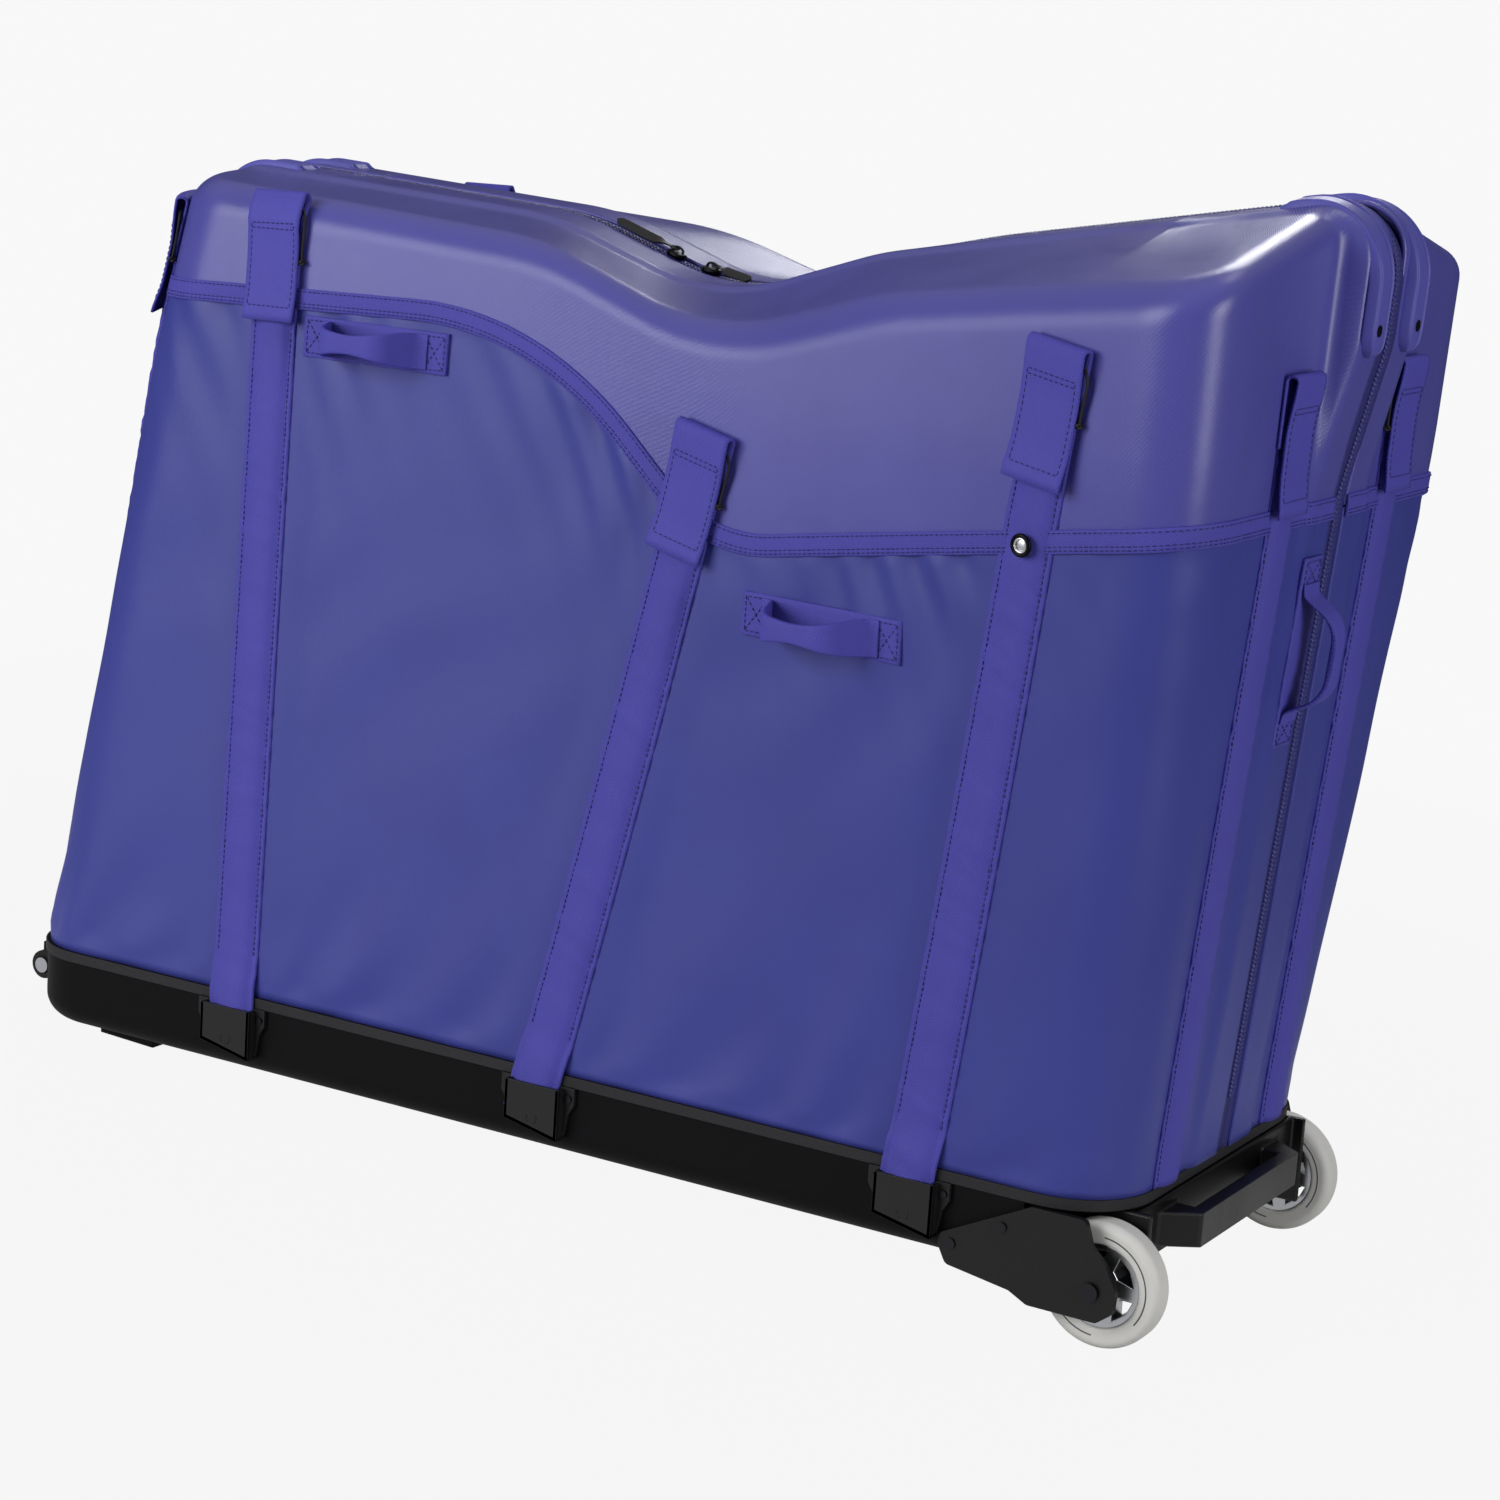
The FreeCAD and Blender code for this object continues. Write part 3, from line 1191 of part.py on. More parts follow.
# Zip sliders stand on the near tape and bridge the chain; each carries a pull on a pin
slider_top = "(chain_height + slider_lift + slider_plate)"
pin_z = "(%s + slider_bridge / 2)" % slider_top
for word, x, z, turn, side in (("front", "-front_slider_back", "front_slider_z", "fall_turn", "-1"),
                               ("rear", "rear_slider_x", "rear_slider_z", "rear_slider_turn", "1")):
    slider = body(word + "_zip_slider")
    body_box(slider, word + "_slider_plate", ("-slider_length / 2", "slider_length / 2"),
             ("-slider_half - slider_foot", "slider_half"), ("chain_height + slider_lift", slider_top))
    body_box(slider, word + "_slider_foot", ("-slider_length / 2", "slider_length / 2"),
             ("-slider_half - slider_foot", "-slider_half"), ("2 * running_gap", slider_top))
    body_box(slider, word + "_slider_bridge", ("-slider_bridge", "slider_bridge"),
             ("-slider_bridge / 2", "slider_bridge / 2"), (slider_top, "%s + slider_bridge" % slider_top))
    body_rod(slider, word + "_slider_bore", "y", {"x": "0", "z": pin_z}, "pin_diameter / 2 + running_gap",
             ("-slider_bridge", "slider_bridge"), "Subtractive")
    stand(slider, x=x, z=z, turn=turn)
    pull_far = "%s * %s_pull_length" % (side, word)
    pull_near = "%s * (slider_bridge + 3 * running_gap)" % side
    span = (pull_far, pull_near) if side == "-1" else (pull_near, pull_far)
    pull_sides = ("-pull_width / 2", "pull_width / 2")
    pull_faces = ("%s - pull_thickness / 2" % pin_z, "%s + pull_thickness / 2" % pin_z)
    tongue = box(word + "_pull_tongue", span, pull_sides, pull_faces)
    arms = []
    for place, low, high in (("near", "-pull_width / 2", "-slider_bridge / 2 - running_gap"),
                             ("far", "slider_bridge / 2 + running_gap", "pull_width / 2")):
        arm_span = (pull_near, "0") if side == "-1" else ("0", pull_near)
        arms.append(box("%s_pull_arm_%s" % (word, place), arm_span, (low, high), pull_faces))
    pin = rod(word + "_pull_pin", "y", {"x": "0", "z": pin_z}, "pin_diameter / 2", pull_sides)
    stand(join(word + "_zip_pull", [tongue, pin] + arms), x=x, z=z, turn=turn)

doc.recompute()

# Put the origin under the middle of the whole case
boxes = [node.Shape.BoundBox for node in nodes]
middle_of_case = (min(item.XMin for item in boxes) + max(item.XMax for item in boxes)) / 2
sheet.set("B%d" % row, "%.6f" % -middle_of_case)
doc.recompute()

for item in doc.Objects:
    if "Invalid" in item.State or "Error" in item.State:
        raise RuntimeError("%s failed: %s" % (item.Label, item.State))
for node in nodes:
    if node.Shape.isNull() or not node.Shape.isValid() or not node.Shape.Solids:
        raise RuntimeError("%s has no valid shape" % node.Label)

os.makedirs("parts", exist_ok=True)
for node in nodes:
    node.Shape.exportStep("parts/%s.step" % node.Label)
print(len(nodes), "sub-parts")
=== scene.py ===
import json
import math

import bpy
import numpy as np
from bpy.props import FloatProperty, FloatVectorProperty, IntProperty, PointerProperty
from mathutils import Matrix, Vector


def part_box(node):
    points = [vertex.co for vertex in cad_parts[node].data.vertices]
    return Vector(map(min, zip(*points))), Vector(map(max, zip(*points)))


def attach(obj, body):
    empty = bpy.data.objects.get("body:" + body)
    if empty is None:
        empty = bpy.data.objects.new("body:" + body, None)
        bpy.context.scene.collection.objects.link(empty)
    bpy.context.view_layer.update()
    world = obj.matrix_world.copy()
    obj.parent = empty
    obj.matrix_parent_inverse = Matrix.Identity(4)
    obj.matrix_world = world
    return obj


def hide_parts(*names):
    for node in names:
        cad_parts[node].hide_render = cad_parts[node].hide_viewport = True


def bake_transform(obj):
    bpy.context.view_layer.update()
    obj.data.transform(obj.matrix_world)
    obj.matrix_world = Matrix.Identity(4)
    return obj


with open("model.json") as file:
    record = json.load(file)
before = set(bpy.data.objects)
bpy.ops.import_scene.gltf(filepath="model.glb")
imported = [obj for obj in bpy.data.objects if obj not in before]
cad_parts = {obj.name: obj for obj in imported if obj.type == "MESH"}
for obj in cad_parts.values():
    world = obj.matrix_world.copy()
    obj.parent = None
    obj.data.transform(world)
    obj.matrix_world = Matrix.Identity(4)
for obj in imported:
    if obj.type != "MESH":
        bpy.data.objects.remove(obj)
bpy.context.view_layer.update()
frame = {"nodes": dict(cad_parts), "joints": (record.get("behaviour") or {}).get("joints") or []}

bl_info = {
    "name": "Bike travel case",
    "version": (1, 0, 0),
    "blender": (4, 5, 0),
    "location": "3D View > Sidebar > Travel case",
    "description": "Dresses the packed bike travel case in sewn cloth, moulded shells and hardware",
    "category": "Object",
}

# The case's own frame, in metres: X along it from the wheel axle, Y across it, Z up from the tray's
# underside
JOINTS = {joint["name"]: joint for joint in frame["joints"]}
HINGE_WAY = np.array(JOINTS["near_half_open"]["axis"])
CASE_ALONG = HINGE_WAY / np.linalg.norm(HINGE_WAY)
CASE_ACROSS = np.array((0.0, 1.0, 0.0))
CASE_UP = np.cross(CASE_ALONG, CASE_ACROSS)
AXLE_HEIGHT = 0.0054
AXLE = np.array(JOINTS["near_wheel_spin"]["pos_m"]) * (1, 0, 1)
CASE_ORIGIN = AXLE - AXLE_HEIGHT * CASE_UP
SIDES = (("near", 1), ("far", -1))

# Plan of the walls at foot, waist and crown: height, front end, wheel end and half widths at both;
# then the heights over which it is averaged
LEVELS = np.array(((0.0703, -1.065, 0.012, 0.193, 0.193),
                   (0.600, -0.990, 0.055, 0.160, 0.246),
                   (0.830, -0.945, 0.062, 0.145, 0.252)))
LEVEL_SPREAD = (-0.036, -0.012, 0.012, 0.036)
FOOT = LEVELS[0, 0]
# Walls and roof: round of the upright corners, where the flare starts, its run and limit, and how
# far the roof is swept back, lowered and squared to its slope
CORNER_ROUND = 0.065
FLARE_START, FLARE_RUN, FLARE_LIMIT = -0.850, 0.840, 1.2
ROOF_SWEEP_SHARE, ROOF_FALL_SHARE, ROOF_SQUARE_SHARE = 0.6, 0.12, 0.96
# Spine: half its width, its rise under the zip, where that starts and its run, rounds of its ends
# and of the valley beside it; then X and Z of its corners, and their rounds
SPINE_HALF, SPINE_CROWN = 0.058, 0.005
CROWN_START, CROWN_RUN = -0.34, 0.12
SPINE_END_ROUND, VALLEY_ROUND = 0.049, 0.012
SPINE = ((-1.067, 0.0703), (-0.992, 0.600), (-0.969, 0.762), (-0.627, 0.745), (-0.466, 0.692),
         (-0.319, 0.743), (0.088, 0.821), (0.083, 0.715), (0.057, 0.600), (0.014, 0.0703))
SPINE_ROUNDS = (0.3, 0.050, 0.280, 0.195, 0.250, 0.048, 0.090, 0.090)
# Hem: X and Z of its corners, and their rounds
HEM = ((-1.3, 0.648), (-0.563, 0.672), (-0.381, 0.518), (0.3, 0.630))
HEM_ROUNDS = (0.330, 0.130)
# Rays that find the skins: Y beside the zip, X of both turning points, height, and Y where those to
# the side start
ZIP_HALF = 0.013
FAN_FRONT, FAN_REAR, FAN_HEIGHT = -0.85, -0.07, 0.60
RAY_START = -0.02
# Walls: thickness of the skin, how far it sinks under tapes and ends below the hem, reach of folds
# from hem and foot, and how far off a sleeve they are whole; heights of two spots that nothing uses
SKIN, WALL_SINK, WALL_UNDER_HEM = 0.0035, 0.0002, 0.002
HEM_FOLD_REACH, FOOT_FOLD_REACH, SLEEVE_EASE = 0.055, 0.050, 0.035
SEAM_LOW, SEAM_HIGH = 0.0703, 0.310
# Shells: climbs between which the hem is sought, and rows of points up to the zip
CLIMB_LOW, CLIMB_HIGH, SHELL_ROWS = -1.1, 1.3, 112
# Stays: X of foot and head and height of the tip, with Y for X at the ends; foot of the side ones
SIDE_STAYS = ((-0.820, -0.834, 0.738), (-0.503, -0.386, 0.602), (-0.159, -0.068, 0.706))
REAR_STAY, FRONT_STAY = (-0.104, -0.108, 0.690), (-0.104, -0.108, 0.728)
STAY_FOOT = 0.030
# Sleeves: length in a socket and lift there, and side distance of their seams and of the hem's
SOCKET_REACH, SOCKET_TUCK = 0.075, 0.0042
SLEEVE_SEAM, HEM_SEAMS = 0.0190, (-0.0064, -0.0036, 0.0064)
# Caps: where the webbing folds past the tip, its thickness, and its seams back from the tip
CAP_TIP, CAP_THICK, CAP_SEAMS = 0.004, 0.0021, (0.016, 0.020, 0.084)
# Cords: thickness, size of the knot, and length, side and height of the route from a stay's tip
CORD_THICK, KNOT_SIZE = 0.0024, 0.00085
CORD_ROUTE = ((-0.004, -0.0215, 0.0066), (-0.006, -0.0262, 0.0064), (-0.014, -0.0290, 0.0056),
              (-0.026, -0.0285, 0.0048), (-0.037, -0.0272, 0.0044), (-0.046, -0.0276, 0.0042))
# Handles: X and Z of the side ones, Y and Z of the one at the wheel end, height of a loop's axis
# off the wall, half a patch, and where along it a loop's root is sewn and free
HANDLES = {"front": (-0.724, 0.635), "rear": (-0.268, 0.473)}
END_HANDLE = (-0.038, 0.482)
LOOP_AXIS, PATCH_HALF, LOOP_ROOT = 0.013, 0.074, (0.052, 0.037)
# Zip: side and height of a tape's and a coil's outline, the coil's pitch and where it ends
ZIP_TAPE = ((-0.0150, -0.0016), (-0.0150, 0.0003), (-0.0120, 0.0006), (-0.0105, 0.0001),
            (-0.0060, 0.0003), (-0.0004, 0.0003), (-0.0004, -0.0016))
ZIP_COIL = ((-0.0042, 0.0), (-0.0040, 0.0016), (-0.0028, 0.0030), (-0.0009, 0.0033),
            (-0.0003, 0.0026), (-0.0003, 0.0))
COIL_PITCH, ZIP_END = 0.0036, 0.045
# Corner guards: distance from the zip to their middle, and half their width
GUARD_MIDDLE, GUARD_HALF = 0.038, 0.0165
# Finishes: pitch of a strap's ribs and floats, radii of a tyre's drawn ring and tread, scale of
# drawn metal's lines, and the background's white
WEBBING_RIB, WEBBING_FLOAT = 0.0027, 0.0017
RING_INNER, RING_OUTER, TREAD_START = 0.0388, 0.0400, 0.0455
DRAWN_LINES = (600.0, 600.0, 40.0)
PAPER_WHITE = (0.94, 0.94, 0.94, 1.0)


def linear(red, green, blue):
    """Linear colour of an sRGB one given in steps of 255."""
    share = np.array((red, green, blue)) / 255
    bright = ((share + 0.055) / 1.055) ** 2.4
    return tuple(np.where(share < 0.04045, share / 12.92, bright)) + (1.0,)


def length(name, amount, words):
    """A size in metres that a user may change."""
    return FloatProperty(name=name, default=amount, min=0.0, unit="LENGTH", precision=5,
                         description=words)


def watts(name, amount, words):
    """A lamp's power."""
    return FloatProperty(name=name, default=amount, min=0, unit="POWER", description=words)


def tint(name, amount, words):
    """A linear colour."""
    return FloatVectorProperty(name=name, default=amount, size=4, min=0, max=1, subtype="COLOR",
                               description=words)


class CaseCloth(bpy.types.PropertyGroup):
    """Sizes of the sewn and moulded skins."""
    shoulder: length("Shoulder round", 0.024, "Radius between the roof and the walls")
    crest: length("Crest round", 0.007, "Radius along the edges of the spine")
    wrinkle: length("Wrinkle depth", 0.0040, "Depth of the folds in the walls")
    billow: length("Billow", 0.0050, "How far the walls belly between the stays")
    hem_width: length("Hem width", 0.0175, "Width of the tape over the hem")
    sleeve_width: length("Sleeve width", 0.046, "Width of a stay sleeve")
    sleeve_crown: length("Sleeve crown", 0.0066, "Height of a sleeve over its stay")
    cap_width: length("Cap width", 0.052, "Width of a folded stay cap")
    cap_length: length("Cap length", 0.100, "Length of the cap's outer flap")
    stitch: length("Stitch pitch", 0.0046, "Distance between stitches")
    thread: length("Thread", 0.0009, "Thickness of the sewing thread")
    loop_width: length("Loop width", 0.029, "Width of a handle's webbing")
    rows: IntProperty(name="Wall rows", default=84, min=8, description="Rows of faces up a wall")


class CaseColours(bpy.types.PropertyGroup):
    """Colours of the case's materials."""
    shell: tint("Shell", linear(84, 83, 166), "Moulded upper shell")
    wall: tint("Wall", linear(62, 68, 150), "Coated cloth of the walls")
    webbing: tint("Webbing", linear(78, 75, 168), "Sleeves, caps, hem tape and handles")
    # The thread is darker than the webbing partly as painted shade: it stands in for the shadow in
    # the stitch holes
    thread: tint("Thread", linear(46, 45, 108), "Sewing thread")
    coil: tint("Zip", linear(50, 50, 112), "Zip coil and tape")
    plastic: tint("Black plastic", linear(11, 11, 13), "Tray and moulded parts")
    tyre: tint("Tyre", linear(226, 225, 221), "Cast tyres")
    metal: tint("Metal", linear(196, 198, 202), "Bright metal")


class StudioLook(bpy.types.PropertyGroup):
    """Light and camera of the studio."""
    key_power: watts("Key light", 100.0, "Large front light")
    top_power: watts("Top light", 6.0, "Small light above")
    back_power: watts("Back light", 24.0, "Light behind")
    end_power: watts("End light", 46.0, "Light on the wheel end")
    lens: FloatProperty(name="Lens", default=86.17, min=1,
                        description="Focal length in millimetres")


class Wire:
    """A shader value; Python's operators on it add Math nodes."""

    def __init__(self, tree, socket):
        self.tree, self.socket = tree, socket

    def math(self, operation, other=0.0, swapped=False):
        """A Math node on this value and another, or on the two in the other order."""
        node = self.tree.nodes.new("ShaderNodeMath")
        node.operation = operation
        for slot, value in zip(node.inputs, (other, self) if swapped else (self, other)):
            plug(self.tree, slot, value)
        return Wire(self.tree, node.outputs[0])

    def __add__(self, other):
        return self.math("ADD", other)

    def __sub__(self, other):
        return self.math("SUBTRACT", other)

    def __rsub__(self, other):
        return self.math("SUBTRACT", other, True)

    def __mul__(self, other):
        return self.math("MULTIPLY", other)

    def __gt__(self, other):
        return self.math("GREATER_THAN", other)

    def __lt__(self, other):
        return self.math("LESS_THAN", other)

    __radd__, __rmul__ = __add__, __mul__

    def wave(self, pitch):
        """Half a sine's swing about a half, with one period in each pitch."""
        return (self * (2 * math.pi / pitch)).math("SINE") * 0.5 + 0.5


def plug(tree, slot, value):
    """Link a wire to a socket, or set the socket's own value."""
    if isinstance(value, Wire):
        tree.links.new(value.socket, slot)
    else:
        slot.default_value = value


def socket_name(word):
    """A socket's title from a keyword."""
    return word.replace("_", " ").title().replace("Ior", "IOR")


class Nodes:
    """A shader tree, built node by node."""

    def __init__(self, tree):
        self.tree = tree

    def node(self, kind, settings=None, inputs=None, output=0):
        """A node with its settings, set first, and the values or links of its sockets."""
        made = self.tree.nodes.new(kind)
        for word, value in (settings or {}).items():
            setattr(made, word, value)
        for word, value in (inputs or {}).items():
            plug(self.tree, made.inputs[word], value)
        return Wire(self.tree, made.outputs[output])

    def split(self, vector):
        """The three numbers of a vector."""
        made = self.node("ShaderNodeSeparateXYZ", inputs={0: vector})
        return tuple(Wire(self.tree, socket) for socket in made.socket.node.outputs)

    def light_paths(self):
        """Whether a ray comes from the camera, a reflection or a clear body."""
        rays = self.node("ShaderNodeLightPath").socket.node.outputs
        return tuple(Wire(self.tree, rays["Is %s Ray" % word])
                     for word in ("Camera", "Glossy", "Transmission"))

    def ramp(self, value, low, high, first, last):
        """Smooth step from one level below the low mark to another above the high one."""
        return self.node("ShaderNodeMapRange", {"interpolation_type": "SMOOTHSTEP"},
                         {"Value": value, "From Min": low, "From Max": high,
                          "To Min": first, "To Max": last})


class Finish(Nodes):
    """A material's shader tree."""

    def __init__(self, name, **fixed):
        self.material = bpy.data.materials.new(name)
        self.material.use_nodes = True
        super().__init__(self.material.node_tree)
        self.skin = self.tree.nodes["Principled BSDF"]
        self.feed(**fixed)

    def place(self, uv=True):
        """The piece's own cloth map or its place in the frame, and the three numbers of it."""
        if uv:
            vector = self.node("ShaderNodeUVMap", {"uv_map": "lay"})
        else:
            vector = self.node("ShaderNodeTexCoord", output=3)
        return (vector,) + self.split(vector)

    def noise(self, vector, scale, detail=4.0, rough=0.55):
        """Cloudy noise at a scale."""
        return self.node("ShaderNodeTexNoise", inputs={"Vector": vector, "Scale": scale,
                                                       "Detail": detail, "Roughness": rough})

    def mix(self, share, first, second):
        """The first colour faded to the second by a share."""
        return self.node("ShaderNodeMix", {"data_type": "RGBA"},
                         {0: share, 6: first, 7: second}, 2)

    def feed(self, **values):
        """Set or link the surface shader's sockets."""
        for word, value in values.items():
            plug(self.tree, self.skin.inputs[socket_name(word)], value)

    def bump(self, height, depth):
        """Raise the surface by a height times a depth."""
        self.feed(normal=self.node("ShaderNodeBump", inputs={"Strength": 1.0, "Distance": depth,
                                                             "Height": height}))


def shade(colour, factor):
    """A colour made lighter or darker by a factor."""
    return tuple(min(1.0, value * factor) for value in colour[:3]) + (1.0,)


def cloth_finish(name, colour, pitch, weave, rough, depth, gloss):
    """Woven cloth: diagonal ribs crossed by floats, with soft patches of wear."""
    finish = Finish(name, specular_ior_level=gloss)
    vector, u, v, _ = finish.place()
    ribs = (u + v).wave(pitch)
    floats = (u - v).wave(pitch * 2)
    patch = finish.noise(vector, 9.0)
    fibre = finish.noise(vector, 1100.0, 2.0)
    weft = ribs * (1 - weave) + ribs * floats * weave
    tone = 0.14 + 0.24 * patch + 0.44 * weft + 0.18 * fibre
    finish.feed(base_color=finish.mix(tone, shade(colour, 0.66), shade(colour, 1.30)),
                roughness=rough + 0.14 * patch - 0.08 * weft)
    finish.bump(weft + 0.35 * fibre, depth)
    return finish.material


def webbing_finish(name, colour):
    """Woven strap: chevron ribs that turn at the middle of the strap."""
    finish = Finish(name, specular_ior_level=0.22)
    vector, u, v, _ = finish.place()
    ribs = (u + v.math("ABSOLUTE")).wave(WEBBING_RIB)
    cross = v.wave(WEBBING_FLOAT)
    patch = finish.noise(vector, 16.0)
    fibre = finish.noise(vector, 1400.0, 2.0)
    tone = 0.14 + 0.24 * patch + 0.30 * ribs + 0.14 * cross + 0.18 * fibre
    finish.feed(base_color=finish.mix(tone, shade(colour, 0.62), shade(colour, 1.32)),
                roughness=0.55 + 0.2 * fibre)
    finish.bump(ribs * 0.7 + cross * 0.3 + 0.3 * fibre, 0.00022)
    return finish.material


def moulded_finish(name, colour, rough, grain, depth, gloss=0.32):
    """Moulded plastic: fine leather grain and faint scuffs."""
    finish = Finish(name, specular_ior_level=gloss)
    vector = finish.place(uv=False)[0]
    cells = finish.node("ShaderNodeTexVoronoi", {"feature": "SMOOTH_F1"},
                        {"Vector": vector, "Scale": grain})
    cloud = finish.noise(vector, 14.0)
    scuff = finish.noise(vector, 240.0, 6.0, 0.7)
    tone = 0.25 + 0.4 * cloud + 0.25 * scuff
    finish.feed(base_color=finish.mix(tone, shade(colour, 0.6), shade(colour, 1.5)),
                roughness=rough + 0.18 * cloud - 0.12 * scuff)
    finish.bump(cells + 0.3 * scuff, depth)
    return finish.material


def metal_finish(name, colour, rough):
    """Drawn metal: fine lines along one way and a cloudy polish."""
    finish = Finish(name, metallic=1.0)
    vector = finish.place(uv=False)[0]
    drawn = finish.node("ShaderNodeMapping", {"vector_type": "POINT"},
                        {"Vector": vector, "Scale": DRAWN_LINES})
    lines = finish.noise(drawn, 1.0, 3.0)
    cloud = finish.noise(vector, 30.0)
    tone = 0.3 + 0.5 * lines * cloud
    finish.feed(base_color=finish.mix(tone, shade(colour, 0.72), shade(colour, 1.1)),
                roughness=rough + 0.2 * lines * cloud)
    finish.bump(lines, 0.00003)
    return finish.material


def tyre_finish(name, colour, centre):
    """Cast tyre: pale rubber with a thin broken ring drawn on its flanks and dust at its rim."""
    finish = Finish(name, specular_ior_level=0.4)
    vector, x, _, z = finish.place(uv=False)
    x, z = x - float(centre[0]), z - float(centre[2])
    radius = (x * x + z * z).math("SQRT")
    angle = z.math("ARCTAN2", x)
    ring = (radius > RING_INNER) * (radius < RING_OUTER)
    broken = (angle * 2.0 + 0.6).math("SINE") > -0.55
    dust = finish.noise(vector, 60.0, 6.0)
    tread = (radius > TREAD_START) * 0.25 * dust
    pale = finish.mix(0.2 + 0.5 * dust - tread, shade(colour, 0.82), shade(colour, 1.06))
    finish.feed(base_color=finish.mix(ring * broken * 0.92, pale, (0.02, 0.02, 0.022, 1.0)),
                roughness=0.42 + 0.2 * dust)
    finish.bump(finish.noise(vector, 900.0, 2.0), 0.00008)
    return finish.material


def rounded(first, second, radius):
    """The larger of two distances, with the crease between them rounded to a radius."""
    return (np.minimum(np.maximum(first, second), -radius)
            + np.hypot(np.maximum(first + radius, 0), np.maximum(second + radius, 0)))


def united(first, second, radius):
    """The smaller of two distances, with the valley between them filled to a radius."""
    return (np.maximum(np.minimum(first, second), radius)
            - np.hypot(np.maximum(radius - first, 0), np.maximum(radius - second, 0)))


def unit(vectors):
    """Vectors over their own lengths."""
    return vectors / np.linalg.norm(vectors, axis=-1, keepdims=True)


def smooth(share):
    """Rise from 0 to 1 as three squares less two cubes of the share."""
    share = np.clip(share, 0, 1)
    return share * share * (3 - 2 * share)


def rounded_line(corners, radii, steps=20):
    """Straight runs through corners, each inner corner an arc that touches both of its runs."""
    corners = np.array(corners, float)
    points = [corners[:1]]
    for before, at, after, radius in zip(corners, corners[1:], corners[2:], radii):
        into, out = unit(before - at), unit(after - at)
        half = np.arccos(np.clip(into @ out, -1, 1)) / 2
        middle = at + unit(into + out) * radius / np.sin(half)
        start, stop = (at + way * radius / np.tan(half) - middle for way in (into, out))
        turn, share = np.pi - 2 * half, np.linspace(0, 1, steps)[:, None]
        arc = (np.sin((1 - share) * turn) * start + np.sin(share * turn) * stop) / np.sin(turn)
        points.append(middle + arc)
    return np.concatenate(points + [corners[-1:]])


SPINE_LINE = rounded_line(SPINE, SPINE_ROUNDS)
TOP_LINE = rounded_line((2 * np.array(SPINE[2]) - SPINE[3], *SPINE[3:6],
                         2 * np.array(SPINE[6]) - SPINE[5]), SPINE_ROUNDS[2:5], 40)
HEM_LINE = rounded_line(HEM, HEM_ROUNDS, 40)
FRONT_LINE = rounded_line(SPINE[:3], SPINE_ROUNDS[:1])
REAR_LINE = rounded_line(SPINE[6:], SPINE_ROUNDS[6:])[::-1]


def top_height(x):
    """Height of the spine's top line along the case."""
    return np.interp(x, TOP_LINE[:, 0], TOP_LINE[:, 1])


def hem_height(x):
    """Height of the hem's line along the case."""
    return np.interp(x, HEM_LINE[:, 0], HEM_LINE[:, 1])


def spine_crown(x, y):
    """Rise of the spine to the zip on the wheel end's slope, by the square of the side distance."""
    return SPINE_CROWN * smooth((x - CROWN_START) / CROWN_RUN) * (
        1 - np.minimum(np.abs(y) / SPINE_HALF, 1) ** 2)


def level(z, column):
    """A number of the plan at a height: straight between levels, averaged over a hand's width."""
    spread = [np.interp(z + shift, LEVELS[:, 0], LEVELS[:, column]) for shift in LEVEL_SPREAD]
    return sum(spread) / len(LEVEL_SPREAD)


def body(points):
    """How far points lie outside the closed case: walls and roof with a rounded shoulder, joined to
    the spine.

    The walls' half width grows with the square of the run past the flare's start. The roof follows
    the spine's top line, swept back and lowered in step with the distance from the spine's edge.
    """
    x, y, z = points[..., 0], np.abs(points[..., 1]), points[..., 2]
    cloth = bpy.context.scene.case_cloth
    flare = np.clip((x - FLARE_START) / FLARE_RUN, 0, FLARE_LIMIT) ** 2
    side = y - level(z, 3) - (level(z, 4) - level(z, 3)) * flare
    ends = np.maximum(level(z, 1) - x, x - level(z, 2))
    over = np.maximum(y - SPINE_HALF, 0)
    roof = (z - top_height(x - ROOF_SWEEP_SHARE * over) + ROOF_FALL_SHARE * over)
    roof = roof * ROOF_SQUARE_SHARE
    trunk = rounded(rounded(side, ends, CORNER_ROUND), roof, cloth.shoulder)
    spine_ends = np.maximum(np.interp(z, FRONT_LINE[:, 1], FRONT_LINE[:, 0]) - x,
                            x - np.interp(z, REAR_LINE[:, 1], REAR_LINE[:, 0]))
    top = z - top_height(x) - spine_crown(x, y)
    spine = rounded(rounded(top, spine_ends, SPINE_END_ROUND), y - SPINE_HALF, cloth.crest)
    return united(trunk, spine, VALLEY_ROUND)


def outward(points, step=0.0006):
    """Way out of the case at points: the slope of the distance by small steps on each axis."""
    slopes = [body(points + shift) - body(points - shift) for shift in np.eye(3) * step]
    return unit(np.stack(slopes, -1))


def meet(start, way, reach=0.7):
    """Where rays from inside leave the case, by halving the reach until it is exact."""
    low, high = np.zeros(start.shape[:-1]), np.full(start.shape[:-1], reach)
    for _ in range(36):
        middle = (low + high) / 2
        inside = body(start + way * middle[..., None]) < 0
        low, high = np.where(inside, middle, low), np.where(inside, high, middle)
    return start + way * low[..., None]


def settle(points):
    """Move points near the case onto it, three steps along its own slope."""
    for _ in range(3):
        points = points - outward(points) * body(points)[..., None]
    return points


def fan(turns=46, runs=132):
    """Start and level way of rays round the near half: quarter turns at the ends, a run between."""
    turn = np.linspace(0, np.pi / 2, turns)
    run = np.linspace(FAN_FRONT, FAN_REAR, runs)[1:-1]
    start_x = np.concatenate((np.full(turns, FAN_FRONT), run, np.full(turns, FAN_REAR)))
    way_x = np.concatenate((-np.cos(turn), 0 * run, np.sin(turn)))
    way_y = np.concatenate((-np.sin(turn), 0 * run - 1, -np.cos(turn)))
    way = np.stack((way_x, way_y, 0 * way_x), -1)
    return np.stack((start_x, 0 * start_x - ZIP_HALF, 0 * start_x + FAN_HEIGHT), -1), way


